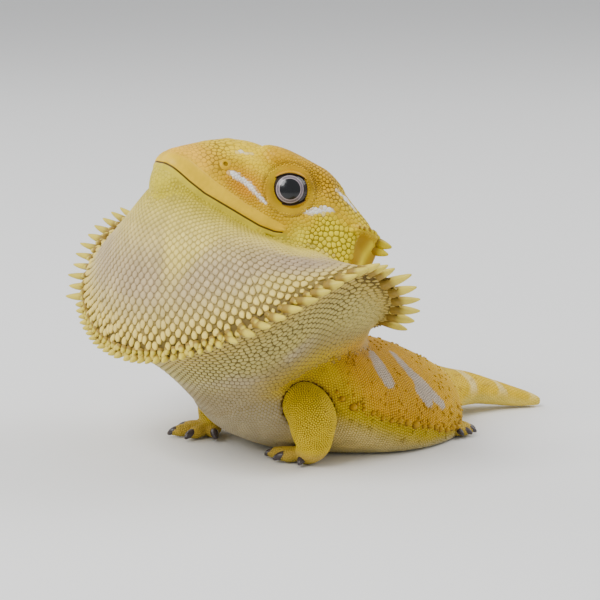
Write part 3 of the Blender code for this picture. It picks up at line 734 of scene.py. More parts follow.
# paint: the figure's colours, as red, green and blue from 0 to 255
paint = dict(
    crown=(204, 164, 2), snout=(247, 190, 45), snoutTop=(236, 200, 4), lore=(216, 146, 2),
    brow=(208, 160, 2), browPatch=(208, 158, 4), cheek=(243, 224, 4), cheekLow=(240, 222, 50),
    rearCrown=(222, 192, 2), ear=(174, 137, 4), lip=(228, 187, 18), jaw=(204, 185, 43),
    white=(236, 232, 224), beardTop=(241, 219, 94), beardLavender=(180, 158, 128),
    # the spikes' root colour is a painted shade where they meet the rim
    beardRim=(244, 214, 108), spike=(214, 194, 74), spikeRootShade=(150, 122, 50), spikeEar=(208, 186, 4),
    neckTop=(190, 166, 83), neck=(190, 175, 101), neckLow=(148, 128, 82), neckLavender=(184, 168, 143),
    chest=(168, 154, 121), shoulder=(215, 183, 4), back=(222, 168, 2), backRear=(236, 190, 4),
    stripe=(206, 190, 171), flank=(197, 168, 4), flankLow=(212, 189, 120), belly=(196, 182, 130),
    tailTop=(226, 188, 4), tailBand=(247, 225, 151), tailUnder=(225, 200, 84),
    # low on each leg the colours darken into a painted shade, darkest near the floor
    leg=(232, 200, 6), foot=(205, 172, 63), footFloorShade=(176, 153, 48),
    # the lid's upper roll gets a painted highlight, its lower side and its granules' roots a painted shade
    lid=(200, 148, 2), lidRollHighlight=(214, 164, 4), lidShade=(184, 140, 2),
    pupil=(10, 12, 16), eyeRing=(66, 64, 74), eyeLine=(196, 176, 180), eyeEdge=(30, 18, 7),
    bump=(190, 146, 4), bumpRoot=(128, 92, 4), claw=(66, 58, 60), clawRoot=(84, 72, 66),
    # the head's groove colour also paints the shade round and in the folds of each lid
    grooveHeadAndShade=(124, 92, 4), grooveCheek=(88, 66, 4), grooveBeard=(118, 98, 52),
    # the neck's groove colour also paints the shade by the rim's spikes
    grooveNeckAndShade=(88, 70, 22), grooveBack=(148, 100, 3), grooveFlank=(150, 127, 3),
    # the mouth's colour is a painted shade along the mouth line
    # the seam's colour is a painted shade in the crease round each leg
    grooveLeg=(130, 100, 3), mouth=(70, 45, 6), seamAndShade=(70, 47, 3),
)
marks = dict(
    # height of the mouth line and of the lip's upper edge along the head
    mouth=((0.0, 1.0), (1.2, 0.8), (5.0, -0.2), (9.1, -0.9), (12.8, -0.95), (18.0, -1.0), (23.0, -1.0),
           (26.6, -0.4), (28.8, 0.7)),
    lipTop=((0.7, 4.7), (3.2, 4.8), (7.0, 3.9), (10.0, 3.2), (14.0, 2.7), (18.0, 2.2), (26.0, 2.2),
            (31.0, 2.4)),
    # painted strokes in the head's frame: side, along, height, half width
    strokes=(
        ((10.2, 12.5, 6.8, 0.85), (11.3, 14.2, 6.6, 0.85), (12.3, 16.2, 6.5, 0.7),
         (13.6, 18.6, 5.5, 0.6), (14.6, 20.7, 4.7, 0.45), (15.0, 21.6, 4.4, 0.3)),
        ((18.6, 30.0, 6.9, 0.2), (18.9, 31.0, 7.8, 0.5), (19.3, 32.4, 9.0, 0.8),
         (19.9, 34.4, 10.5, 0.9), (20.4, 36.3, 11.4, 0.6)),
        ((6.5, 11.4, 12.2, 0.25), (7.5, 13.2, 12.9, 0.45), (8.6, 16.4, 14.7, 0.3)),
        ((17.9, 36.6, 16.8, 0.5), (18.5, 39.1, 16.4, 0.85), (19.4, 42.5, 15.2, 0.6)),
    ),
    # strokes on the back: x, y, z, half width
    backStrokes=(
        ((18.0, 26.2, 25.0, 1.1), (20.6, 25.2, 23.8, 1.9), (24.3, 24.5, 21.3, 2.3), (26.2, 24.9, 19.0, 1.9)),
        ((15.4, 34.9, 23.2, 1.0), (19.5, 34.5, 21.4, 1.5), (22.5, 35.3, 19.0, 2.0),
         (24.3, 37.7, 16.2, 1.9), (25.4, 40.1, 13.2, 1.7), (25.6, 43.0, 10.5, 1.4)),
        ((24.6, 35.0, 17.0, 0.9), (25.8, 35.2, 15.2, 1.7), (26.9, 37.3, 12.4, 1.8)),
    ),
    strokeEdge=(0.25, 0.3),  # how softly strokes end on the head and on the back
)


def colour(name):
    # from screen values to light: c / 12.92 in the dark, and ((c + 0.055) / 1.055)^2.4 above
    c = np.asarray(paint[name], float) / 255
    return np.where(c <= 0.04045, c / 12.92, ((c + 0.055) / 1.055) ** 2.4)


def coatOf(name, points):
    # one colour at every point
    return np.tile(colour(name), (len(points), 1))


def between(start, end, share):
    # this share of the way from one row of colours to another
    return start + (end - start) * share[:, None]


def blend(base, name, amount):
    # a named colour laid over others, as strongly as the amount says
    return between(base, colour(name), np.clip(amount, 0, 1))


def lineAt(name, along):
    # height of the mouth line or the lip's edge
    return np.interp(along, *zip(*marks[name]))


def toSegments(points, way):
    # how far outside a stroke of changing half width each point lies: its distance to the nearest place on
    # each straight piece, less the half width there, and the least of these
    way = np.asarray(way, float)
    best = np.full(len(points), 1e3)
    for start, end in zip(way, way[1:]):
        along = end[:3] - start[:3]
        t = np.clip((points - start[:3]) @ along / (along @ along), 0, 1)
        gap = np.linalg.norm(points - start[:3] - t[:, None] * along, axis=1)
        best = np.minimum(best, gap - (start[3] + (end[3] - start[3]) * t))
    return best


def ragged(points, size, seed):
    # a smooth random field: the mean of a few slanted waves, each sin(2 pi way / length + start)
    dice, waves = np.random.default_rng(seed), 7
    total = np.zeros(len(points))
    for _ in range(waves):
        way = dice.normal(size=3)
        slant = way / np.linalg.norm(way) * 2 * math.pi / (size * dice.uniform(0.6, 1.6))
        total += np.sin(points @ slant + dice.uniform(0, 6.3))
    return total / waves


def strokeMask(points, ways, edge):
    # 1 inside the strokes of both sides and 0 outside, with a ragged edge
    mask = np.zeros(len(points))
    wobble = ragged(points, 1.6, 3) * 0.25
    for way in ways:
        for side in (points, points * (-1, 1, 1)):
            mask = np.maximum(mask, fall(toSegments(side, way) + wobble, -edge, edge))
    return mask


def around(x, centre, width):
    # 1 at the centre, falling off as exp(-((x - centre) / width)^2)
    return np.exp(-((x - centre) / width) ** 2)


def headNet(along, height, lipTop):
    # where a net of dark lines parts the head's plates: snout, behind the brow, and cheek
    net = around(along, 8.5, 4.5) * ease(height - lipTop, 0.5, 2.5)
    net += ease(along, 25, 29) * ease(height, 12, 14.5)
    return np.minimum(net + ease(along, 31, 35) * fall(height, 8.5, 11.5) * ease(height, -4, 0), 1)


def earFace(side, along, height):
    # the smooth hollow behind the cheek, under the ridge
    return ease(along + 0.2 * (height - 10), 44.6, 45.8) * fall(height, 10.4, 11.6) * ease(side, 14, 18)


def layered(base, layers):
    # colours laid one over another, each as strongly as its amount says
    for name, amount in layers:
        base = blend(base, name, amount)
    return base


def paintHead(points):
    # colours laid by place in the head's frame, then the ear's and the strokes', and dark lines by the net
    side, along, height = headLocal(points)
    side = np.abs(side)
    overMouth, overLip = (height - lineAt(name, along) for name in ("mouth", "lipTop"))
    blots = ease(ragged(points, 5, 11), 0.1, 0.5)
    ahead, fromEye = towardsEye(np.column_stack((np.abs(points[:, 0]), points[:, 1:])), 1)
    ear = earFace(side, along, height)
    strokes = strokeMask(np.column_stack((side, along, height)), marks["strokes"], marks["strokeEdge"][0])
    base = layered(coatOf("crown", points), (
        ("snoutTop", ease(height, 8, 12) * fall(along, 16, 26)),
        ("lore", around(along, 16, 4.5) * around(height, 5.5, 3.5) * ease(side, 7, 10)),
        ("brow", ease(height, 12, 16) * ease(side, 8, 12) * fall(along, 32, 40)),
        ("browPatch", 0.7 * blots * ease(height, 13, 17) * around(along, 26, 8)),
        ("rearCrown", ease(along, 34, 44) * ease(height, 10, 14)),
        ("cheek", ease(along, 30, 38) * fall(height, 8, 12)),
        ("cheekLow", ease(along, 27, 33) * fall(along, 38, 46) * fall(height, 2.5, 6.5)),
        ("snout", fall(along, 4, 11) * (1 - 0.5 * ease(height, 7, 11))),
        ("lip", fall(overLip, -1.6, 1.2) * fall(along, 24, 32)),
        ("jaw", fall(overMouth, -0.5, 0.3)),
        # a painted shade in the crease round the lid
        ("grooveHeadAndShade", 0.6 * around(fromEye, eye["lidOuter"] + 0.4, 0.3) * (ahead > 0)),
        ("ear", ear),
        ("cheek", ear * around(along, 50.5, 1.2) * 0.7),
        ("white", strokes),
    ))
    groove = blend(coatOf("grooveHeadAndShade", points), "grooveCheek", ease(along, 23, 30))
    net = headNet(along, height, lineAt("lipTop", along)) * (0.9 + 0.3 * ragged(points, 6, 21))
    soft = np.maximum(1 - np.clip(net, 0, 1), ear)
    groove = between(groove, base * 0.8, 0.86 * soft)
    return base, between(groove, base * 0.86, strokes)


def paintThroat(points, share):
    # colours by the share of the way down, with a lavender cloud and paler veins at the front
    y = points[:, 1]
    front = ease(-y, -20, 6)
    cloud = ease(ragged(points, 30, 5), -0.5, 0.5)
    veins = ease(ragged(points * (1, 1, 0.4), 13, 61), 0.1, 0.45) * around(share, 0.5, 0.3) * front
    base = layered(coatOf("beardTop", points), (
        ("jaw", fall(share, 0.02, 0.22)),
        ("beardLavender", around(share, 0.54, 0.33) * front * (0.85 + 0.15 * cloud)),
        ("beardTop", 0.6 * veins),
        ("beardRim", ease(share, 0.74, 0.95) * 0.8),
        ("spike", around(share, 0.99, 0.07) * 0.75),
    ))
    patches = ease(ragged(points, 14, 8), -0.3, 0.3) * fall(y, -6, 5)
    low = layered(coatOf("neckTop", points), (
        ("neck", ease(share, 1.15, 1.45)),
        ("neckLow", ease(share, 1.55, 1.85)),
        ("neckLavender", 0.9 * around(share, 1.7, 0.13) * patches),
    ))
    under = ease(share, 1.0, 1.04)
    base = between(base, low, under)
    groove = between(coatOf("grooveBeard", points), base * 0.7, 0.9 - 0.75 * ease(share, 0.55, 0.95))
    # low on the wall, by the rim's spikes, the lines between scales take a painted shade; under the rim and
    # low on the neck they are dark
    groove = blend(groove, "grooveNeckAndShade", 0.75 * around(share, 0.94, 0.07))
    net = around(share, 1.05, 0.14) + 0.85 * around(share, 1.42, 0.32) * fall(y, 2, 16)
    groove = between(groove, low * 0.62, under)
    return base, blend(groove, "grooveNeckAndShade", under * np.minimum(net, 1))


def paintTrunk(points):
    # colours by the height over the widest line, from belly and flank to back
    x, y, z = points.T
    over = z - stationAt(trunk, y, 2)
    stripes = strokeMask(points, marks["backStrokes"], marks["strokeEdge"][1])
    low = layered(coatOf("flank", points), (
        ("flankLow", ease(-over, 2.5, 8)),
        ("chest", fall(y, -1, 7)),
        ("belly", fall(z, 0.5, 3)),
    ))
    base = layered(coatOf("back", points), (
        ("backRear", ease(y, 34, 56)),
        ("shoulder", fall(y + 0.5 * np.minimum(over, 8), 12, 21)),
    ))
    base = layered(between(base, low, fall(over, -2.5, 0.8)), (
        ("chest", fall(y, -4, 2) * fall(z, 14, 19)),
        ("shoulder", 0.8 * around(y, 6, 5) * around(over, 1, 5) * ease(np.abs(x), 12, 20)),
        ("stripe", stripes * 0.95),
    ))
    groove = blend(coatOf("grooveBack", points), "grooveFlank", fall(over, -2.5, 0.8))
    return base, between(groove, base * (0.66 - 0.2 * stripes[:, None]), np.maximum(stripes, 0.3))


def paintTail(points):
    # a pale band in every 9.5 of length, and small dark spots on top
    y = points[:, 1]
    over = points[:, 2] - stationAt(tail, y, 2)
    band = ease(np.sin((y - 57) * 2 * math.pi / 9.5 + ragged(points, 8, 2) * 1.5), 0.35, 0.85)
    spots = ease(ragged(points, 2.4, 41), 0.2, 0.5) * ease(over, -0.5, 2) * fall(y, 66, 84)
    base = layered(coatOf("tailUnder", points), (
        ("tailTop", ease(over, -1.6, 1.0)),
        ("tailBand", band * ease(y, 62, 68) * ease(over, -1, 2) * 0.75),
        ("tailUnder", ease(y, 84, 90) * 0.6),
        ("grooveBack", 0.4 * spots),
    ))
    return base, base * 0.72


def paintLeg(points):
    # the colour turns duller towards the foot and darker near the floor, a painted shade low on the leg
    z = points[:, 2]
    base = layered(coatOf("leg", points), (("foot", fall(z, 2.6, 5.5)), ("footFloorShade", fall(z, 0.6, 2.0))))
    return base, between(coatOf("grooveLeg", points), base * 0.7, fall(z, 2.6, 6.0))


def formMap():
    # every form's points, with the part they belong to (head, throat, trunk, tail) and how far along they lie
    grids = [(0, headGrid()[::2, ::2]), (1, throatGrid()[:, ::3])]
    grids += [(number, bodyGrid(part)[:, ::2]) for number, part in ((2, trunk), (3, tail))]
    grids += [(0, browGrid(mirror)[::2, ::2]) for mirror in (1, -1)]
    lids = ballGrid((eye["lids"],) * 3, 20, 28) + eye["centre"]
    grids += [(0, lids), (0, flipped(lids))]
    places, parts, shares = [], [], []
    for part, grid in grids:
        rows = np.broadcast_to(np.arange(len(grid))[:, None], grid.shape[:2]).ravel()
        places.append(grid.reshape(-1, 3))
        parts.append(np.full(rows.shape, part))
        shares.append(throatShare(rows) if part == 1 else rows / (len(grid) - 1))
    return finderOf(np.vstack(places)), np.concatenate(parts), np.concatenate(shares)


def throatShare(row):
    # how far down the throat a row of its grid lies
    return np.interp(row, throatRows, throatShares)


def whereOn(points, mapping):
    # part and share of the nearest form, where the throat's last rows count as trunk
    tree, parts, shares = mapping
    nearest = np.array([tree.find(point)[1] for point in points.tolist()])
    parts, shares = parts[nearest], shares[nearest]
    return np.where((parts == 1) & (shares > throatEnd), 2, parts), shares


def coloursAt(points, parts, shares):
    # the scale colour and the groove colour at each point
    made = np.array((paintHead(points), paintThroat(points, shares), paintTrunk(points), paintTail(points)))
    return made[parts, :, np.arange(len(points))].transpose(1, 0, 2)


def shownAt(points, parts, fromLeg):
    # false where lips, eyelids or nostrils take the place of scales
    side, along, height = headLocal(points)
    side, mouth = np.abs(side), lineAt("mouth", along)
    low, high, last = lips["bare"]
    lipRange = (height - mouth > low) & (height < lineAt("lipTop", along) + high) & (along < last)
    hidden = (parts == 0) & (lipRange | (earFace(side, along, height) > 0.6))
    for mirror in (1, -1):
        ahead, fromEye = towardsEye(points, mirror)
        hidden |= (ahead > 0) & (fromEye < eye["lidOuter"] - eye["bare"])
    fromNostril = np.linalg.norm(np.column_stack((side, along, height)) - nostril["place"], axis=1)
    return ~(hidden | (fromNostril < nostril["radius"] * nostril["bare"])) & (fromLeg > seamAndShade["line"] * 0.8)


def slimness(points, parts, shares):
    # width as a share of the plain one: 1 over most of the coat, less on the front of the beard
    return 1 - coat["slim"] * (parts == 1) * ease(-points[:, 1], 0, 22) * fall(shares, 0.95, 1.02)


def lengthOver(points, parts, shares):
    # how much longer than wide the scales are
    longer = np.interp(shares, *coat["longer"]) / slimness(points, parts, shares)
    return np.where(parts == 1, longer, 1.0)


def fieldsAt(points, parts, shares):
    # each site's size, height and lean; on the head the table's rows count by 1 / (distance^2 + 1.5)^1.6
    side, along, height = headLocal(points)
    local = np.column_stack((np.abs(side), along, height))
    table = np.array(coat["head"])
    pull = 1 / (((local[:, None] - table[None, :, :3]) ** 2).sum(2) + 1.5) ** 1.6
    onHead = (pull[..., None] * table[None, :, 3:]).sum(1) / pull.sum(1)[:, None]
    reach, eyeSize = coat["nearEye"]
    earSize, earHeight = coat["ear"]
    nearEye = np.linalg.norm(np.abs(points * (1, 0, 0)) + points * (0, 1, 1) - eye["centre"], axis=1) < reach
    ear = earFace(*local.T) > 0.5
    onHead[:, 0] = np.where(nearEye, np.minimum(onHead[:, 0], eyeSize), np.where(ear, earSize, onHead[:, 0]))
    plain = 1 - headNet(along, height, lineAt("lipTop", along))
    inNet, lost = coat["headHeight"]
    onHead[:, 1] = np.where(ear, earHeight, onHead[:, 1] * (inNet - lost * plain))
    knots, *columns = np.transpose(coat["throat"])
    onThroat = np.stack([np.interp(shares, knots, column) for column in columns], 1)
    onThroat[:, 0] *= slimness(points, parts, shares)
    over = points[:, 2] - stationAt(trunk, points[:, 1], 2)
    sizes = coat["trunk"]
    size = sizes["flank"] + (sizes["back"] - sizes["flank"]) * ease(over, -3, 1)
    size = size + (sizes["chest"] - size) * fall(points[:, 1], -2, 6) * fall(over, -3, 3)
    size = np.where(points[:, 2] < 1.0, sizes["belly"], size)
    onTrunk = np.column_stack((size, np.full(len(points), sizes["height"]), np.zeros(len(points))))
    onTail = np.tile((coat["tail"]["size"], coat["tail"]["height"], 0.0), (len(points), 1))
    return np.stack((onHead, onThroat, onTrunk, onTail))[parts, np.arange(len(points))]


def reliefAt(points):
    # each ridge or hollow falls off from its way as exp(-(distance / half width)^2)
    side, along, height = headLocal(points)
    local = np.column_stack((np.abs(side), along, height))
    total = np.zeros(len(points))
    for rise, width, way in relief:
        total += rise * around(toSegments(local, [(*place, 0.0) for place in way]), 0.0, width)
    return total


def socketed(points):
    # the skin dips under each eyelid, so that the eyeball and the lid stand clear of it
    near, far, depth = eye["socket"]
    for mirror in (1, -1):
        centre = eyeFrame(mirror)[0]
        ahead, reach = towardsEye(points, mirror)
        rel = points - centre
        radius = np.linalg.norm(rel, axis=1)
        share = np.where(ahead > 0, fall(reach, near, far), 0.0)
        points = centre + rel * (1 + share * (depth / np.maximum(radius, depth) - 1))[:, None]
    return points


def buildSkin():
    # skin of head, throat, trunk and tail, in one
    brows = [browGrid(mirror) for mirror in (1, -1)]
    lidBall = ballGrid((eye["lids"],) * 3) + eye["centre"]
    shells = [headGrid(), throatGrid(), bodyGrid(trunk), bodyGrid(tail), *brows, lidBall, flipped(lidBall)]
    piece = fused("skin", [closedLoft(grid) for grid in shells], skin["cell"])
    edges = edgesOf(piece)
    points = smoothed(pointsOf(piece), edges, skin["smooth"])
    setPoints(piece, points)
    # creases between forms: where the neighbours' mean stands out along the normal, smoothing fills them
    hollow = np.einsum("ij,ij->i", averaged(points, edges) - points, normalsOf(piece))
    fold = ease(hollow, *skin["fold"])[:, None]
    for _ in range(skin["foldSpread"]):
        fold = np.maximum(fold, averaged(fold, edges))
    for _ in range(skin["creaseRounds"]):
        points = pulled(points, edges, 0.5 * fold)
    setPoints(piece, points)
    points = points + normalsOf(piece) * (reliefAt(points) - skin["inset"])[:, None]
    points[:, 2] = np.maximum(points[:, 2], skin["floor"])
    setPoints(piece, socketed(points))
    return piece


def buildLeg(name):
    # a tube down the leg and one for each toe, as one skin
    mirror = 1 if name.endswith("left") else -1
    ways, ends = toeWays(name, mirror)
    tubes = [sweep(np.array(legs["ways"][name]) * (mirror, 1, 1, 1), legs["rowsEach"], legs["columns"])]
    tubes += [sweep(way, legs["toeRows"], legs["toeColumns"]) for way in ways]
    piece = fused(name + "_skin", [closedLoft(grid) for grid in tubes], legs["cell"])
    edges = edgesOf(piece)
    points = pulled(smoothed(pointsOf(piece), edges, legs["smooth"]), edges, legs["soften"])
    setPoints(piece, points)
    points = points - normalsOf(piece) * legs["inset"]
    points[:, 2] = np.maximum(points[:, 2], legs["floor"])
    setPoints(piece, points)
    return piece, ends


def legDistance(points, legSurfaces):
    # how far each point lies from the nearest leg, and 0 inside one
    nearest = np.full(len(points), 9.0)  # as far as it matters
    for legSurface in legSurfaces:
        low, high = legSurface["points"].min(0) - 2, legSurface["points"].max(0) + 2
        close = np.flatnonzero(((points > low) & (points < high)).all(1))
        if len(close):
            places, normals, away = onSurface(points[close], legSurface)
            outside = np.einsum("ij,ij->i", points[close] - places, normals) > 0
            nearest[close] = np.minimum(nearest[close], np.where(outside, away, 0.0))
    return nearest


nostril = dict(
    place=(8.6, 10.5, 7.9), radius=1.7,
    # reach as a share of the radius, height over the skin
    rings=((0.95, -0.6), (1.0, -0.25), (0.82, 0.12), (0.6, 0.4), (0.42, 0.46), (0.33, 0.3),
           (0.29, -0.1), (0.22, -0.5)),
    columns=28, hole=(4.6, 6.2), bare=0.8,  # rings between which it turns dark, share of it without scales
)
lips = dict(
    columns=320, reach=29.8, fade=2.5, sink=0.35,  # how far back the lips reach, and how they end in the skin
    turn=131.0, middle=14.0, start=10.0, tries=4,  # rays start on the head's axis and turn this far each way
    # height over the mouth line (in band, as a share of the way to the lip's edge), and height over the skin
    lower=((-1.9, -0.35), (-1.4, 0.06), (-0.95, 0.2), (-0.55, 0.34), (-0.3, 0.34), (-0.15, 0.2)),
    upper=((0.15, 0.2), (0.28, 0.34), (0.45, 0.38), (0.8, 0.42)),
    band=((0.4, 0.4), (0.58, 0.32), (0.76, 0.22), (0.9, 0.1), (1.0, -0.25)),
    # the dark line is a painted shade where the lips meet
    inside=0.8, line=0.2,  # how deep its back lies, and half width of the dark line
    bare=(-1.2, -0.5, 29.6),  # no scales from here over the mouth line to here over the lip, this far back
    tones=((0.07, 1.2, 51), (0.1, 5, 52)),  # soft changes of tone: strength, size, seed
)


def torusFaces(rows, columns):
    # quads between rings that run round and join their own start
    r, c = np.meshgrid(np.arange(rows), np.arange(columns), indexing="ij")
    near, far, turn = r * columns, (r + 1) % rows * columns, (c + 1) % columns
    return np.stack((near + c, near + turn, far + turn, far + c), -1).reshape(-1, 4)


def turnedOut(points, faceSets):
    # faces run the other way round where the shell's signed volume, a sum of p0 . (p1 x p2), is below zero
    volume = 0.0
    for faces in faceSets:
        corners = (points - points.mean(0))[faces]
        for k in range(1, faces.shape[1] - 1):
            volume += np.einsum("ij,ij->", corners[:, 0], np.cross(corners[:, k], corners[:, k + 1]))
    return [faces if volume > 0 else faces[:, ::-1] for faces in faceSets]


def shellPiece(name, slot, shells, colours, material):
    # closed shells joined in one painted piece
    points, faceSets, first = [], [], 0
    for shellPoints, faces in shells:
        faceSets += [part + first for part in turnedOut(shellPoints, faces)]
        points.append(shellPoints)
        first += len(shellPoints)
    piece = newMesh(name, np.vstack(points), faceSets)
    paintPoints(piece, np.vstack(colours))
    unwrap(piece, np.vstack(points), np.vstack(points))
    piece.data.materials.append(material)
    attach(piece, "root")
    return piece


def gridShell(grid):
    # a closed loft, with its two kinds of faces together
    points, quads, fans = closedLoft(grid)
    return points, (quads, fans)


def hornShells(base, ahead, lengths, radii, bend, form):
    # round cones: the middle runs along ahead x t + bend x t^2, and the radius follows the profile
    t, wide = np.transpose(form["profile"])
    bend = np.broadcast_to(bend, base.shape)[:, None]
    after = np.maximum(t, 0)
    middle = (base[:, None] + ahead[:, None] * (lengths[:, None] * t)[..., None]
              + bend * (lengths[:, None] * after ** 2)[..., None])
    circle = ringPoints(unit(ahead[:, None] + bend * (2 * after)[None, :, None]), form["sides"], -1)
    grids = middle[:, :, None] + circle * (radii[:, None] * wide)[..., None, None]
    return [gridShell(grid) for grid in grids]


def hornColours(count, form, root, tip, edge=(0.1, 0.6)):
    # from the root's colour to the tip's along each horn, each a little lighter or darker
    share = ease(np.transpose(form["profile"])[0], *edge)[None, :, None]
    tones = 1 + rng.normal(0, coat["vary"][2], (count, 1, 1))
    rows = (colour(root) + (colour(tip) - colour(root)) * share) * tones
    grid = np.repeat(rows, form["sides"], axis=1)
    return list(np.concatenate((grid, rows[:, :1], rows[:, -1:]), axis=1))


def eyeball(mirror):
    # a ball turned to face outwards; each ring of it has one colour, by how far it lies from the middle
    centre, facing, level, upright = eyeFrame(mirror)
    columns = eye["columns"]
    turn = np.linspace(0.004, math.pi - 0.004, eye["rows"])[:, None, None]
    angle = (np.arange(columns) * 2 * math.pi / columns)[None, :, None]
    circle = np.cos(angle) * level + np.sin(angle) * upright
    grid = centre + eye["ball"] * (np.cos(turn) * facing + np.sin(turn) * circle)
    turn = turn[:, 0, 0]
    reach = np.where(turn > math.pi / 2, 99.0, eye["ball"] * np.sin(turn))
    pupil, ring = eye["pupil"], eye["ring"]
    rows = layered(coatOf("eyeRing", reach), (
        ("eyeLine", around(reach, pupil + 0.13, 0.07) + 0.5 * around(reach, pupil + 0.4, 0.05)),
        ("eyeLine", 0.9 * around(reach, ring - 0.1, 0.08)),
        ("pupil", fall(reach, pupil - 0.08, pupil + 0.08)),
        ("eyeEdge", ease(reach, ring, ring + 0.15)),
    ))
    return gridShell(grid), np.vstack((np.repeat(rows, columns, axis=0), rows[:1], rows[-1:]))


def eyelid(mirror):
    # a soft ring round the opening: the lid's profile from the opening's edge outwards and back under itself
    centre, facing, level, upright = eyeFrame(mirror)
    angle = np.arange(eye["lidColumns"]) * 2 * math.pi / eye["lidColumns"]
    c, s = np.cos(angle), np.sin(angle)
    long, tall = eye["opening"]
    inner = long * tall / np.hypot(tall * c, long * s) + eye["corner"] * np.abs(c) ** 3.5
    share, radius = np.transpose(eye["lid"])
    reach = inner + (eye["lidOuter"] - inner) * share[:, None]
    outer = ease(share, 0.5, 0.8)[:, None]
    upper = eye["upperRoll"] * outer * ease(s, -0.2, 0.7)
    radius = radius[:, None] + upper + 0.02 * np.cos(angle * 38) * (1 - outer)
    flat = c[None, :, None] * level + s[None, :, None] * upright
    ahead = np.sqrt(np.maximum(radius**2 - reach**2, 0.01))
    grid = centre + flat * reach[..., None] + facing * ahead[..., None]
    # painted shade in the lid's fold and where its outer edge tucks under
    foldShade = around(share, 0.52, 0.07) * 0.5 + ease(share, 0.93, 1.0) * 0.6
    # the upper roll gets a painted highlight, the lower lid a painted shade
    rows = layered(coatOf("lid", range(share.size * angle.size)), (
        ("lidRollHighlight", (outer * ease(s, -0.1, 0.6)).ravel()),
        ("lidShade", ((1 - outer) * ease(-s, -0.2, 0.6)).ravel()),
        ("grooveHeadAndShade", np.repeat(foldShade, angle.size)),
        ("eyeEdge", np.repeat((share < 0.12).astype(float), angle.size)),
    ))
    return (grid.reshape(-1, 3), (torusFaces(share.size, angle.size),)), rows


def lidBeads(mirror):
    # small round granules in rings on the lid
    centre, facing, level, upright = eyeFrame(mirror)
    places, sizes = [], []
    for reach, count, size, lift, roll in eye["beads"]:
        angle = (np.arange(count) + 0.5 * len(places)) * 2 * math.pi / count
        flat = np.cos(angle)[:, None] * level + np.sin(angle)[:, None] * upright
        radius = lift + eye["upperRoll"] * ease(np.sin(angle), -0.2, 0.7) * roll
        places.append(centre + flat * reach + facing * np.sqrt(radius**2 - reach**2)[:, None])
        sizes.append(np.full(count, size))
    places, sizes = np.vstack(places), np.concatenate(sizes)
    form = dict(profile=eye["beadProfile"], sides=eye["beadSides"])
    shells = hornShells(places, unit(places - centre), sizes * 0.7, sizes, (0, 0, 0), form)
    # the granules run from the lid's painted shade at the root to its own colour at the tip
    return shells, hornColours(len(places), form, "lidShade", "lid")


def lipBand(surface):
    # a strip along the mouth from corner to corner: it is laid on the skin by rays from inside the head,
    # each at its own height over the mouth line, and lifted by the lip's profile
    turn = np.radians(np.linspace(-lips["turn"], lips["turn"], lips["columns"]))
    count = len(turn)
    along = np.full(count, lips["start"])
    strips, heights = [], []
    rows = [(low, lift, False) for low, lift in (*lips["lower"], *lips["upper"])]
    rows += [(share, lift, True) for share, lift in lips["band"]]
    for low, lift, shared in rows:
        for _ in range(lips["tries"]):
            mouth = lineAt("mouth", along)
            height = mouth + (low * (lineAt("lipTop", along) - mouth) if shared else low)
            start = headPlace(np.zeros(count), np.full(count, lips["middle"]), height)
            towards = headPlace(np.sin(turn), lips["middle"] - np.cos(turn), height) - start
            hits = [surface["finder"].ray_cast(Vector(a), Vector(b))[0] or a
                    for a, b in zip(start.tolist(), towards.tolist())]
            places = np.array([tuple(hit) for hit in hits])
            along = headLocal(places)[1]
        normals = onSurface(places, surface)[1]
        fade = fall(np.abs(along), lips["reach"] - lips["fade"], lips["reach"])
        strips.append(places + normals * (lift * fade - lips["sink"] * (1 - fade))[:, None])
        heights.append(height - mouth)
    front = np.array(strips).transpose(1, 0, 2)
    inside = onSurface(front[:, [-1, 0]].reshape(-1, 3), surface)
    back = (inside[0] - inside[1] * lips["inside"]).reshape(count, 2, 3)
    points, faces = gridShell(np.concatenate((front, back), axis=1))
    shade = headColours(points)
    tone = 1 + sum(strength * ragged(points, size, seed) for strength, size, seed in lips["tones"])
    shade *= tone[:, None]
    # the mouth line is a painted shade, a dark line where the lips meet
    level = np.abs(np.column_stack((np.array(heights).T, np.full((count, 2), 3.0))).ravel())
    line = fall(level, lips["line"] * 0.7, lips["line"] * 1.3)
    shade[:level.size] = blend(shade[:level.size], "mouth", line)
    return [(points, faces)], [shade]


def headColours(points):
    # the scale colours of the head alone
    return paintHead(points)[0]


def nostrilShells(surface):
    # a low mound with a small hole, on each side
    shells, shades = [], []
    columns = nostril["columns"]
    angle = (np.arange(columns) * 2 * math.pi / columns)[:, None]
    reach, lift = np.transpose(nostril["rings"])
    dark = np.append(np.repeat(ease(np.arange(len(reach)), *nostril["hole"]), columns), (0, 1))
    for mirror in (1, -1):
        middle = headPlace(*np.array(nostril["place"])[:, None] * ((mirror,), (1,), (1,)))
        place, normal, _ = onSurface(middle, surface)
        across = unit(np.cross(normal, (0.0, 0.3, 1.0)))
        circle = np.cos(angle) * across + np.sin(angle) * np.cross(normal, across)
        out = (reach * nostril["radius"])[:, None, None]
        grid = place + circle[None] * out + normal * lift[:, None, None]
        points, faces = gridShell(grid)
        shells.append((points, faces))
        shades.append(blend(headColours(points), "eyeEdge", dark))
    return shells, shades


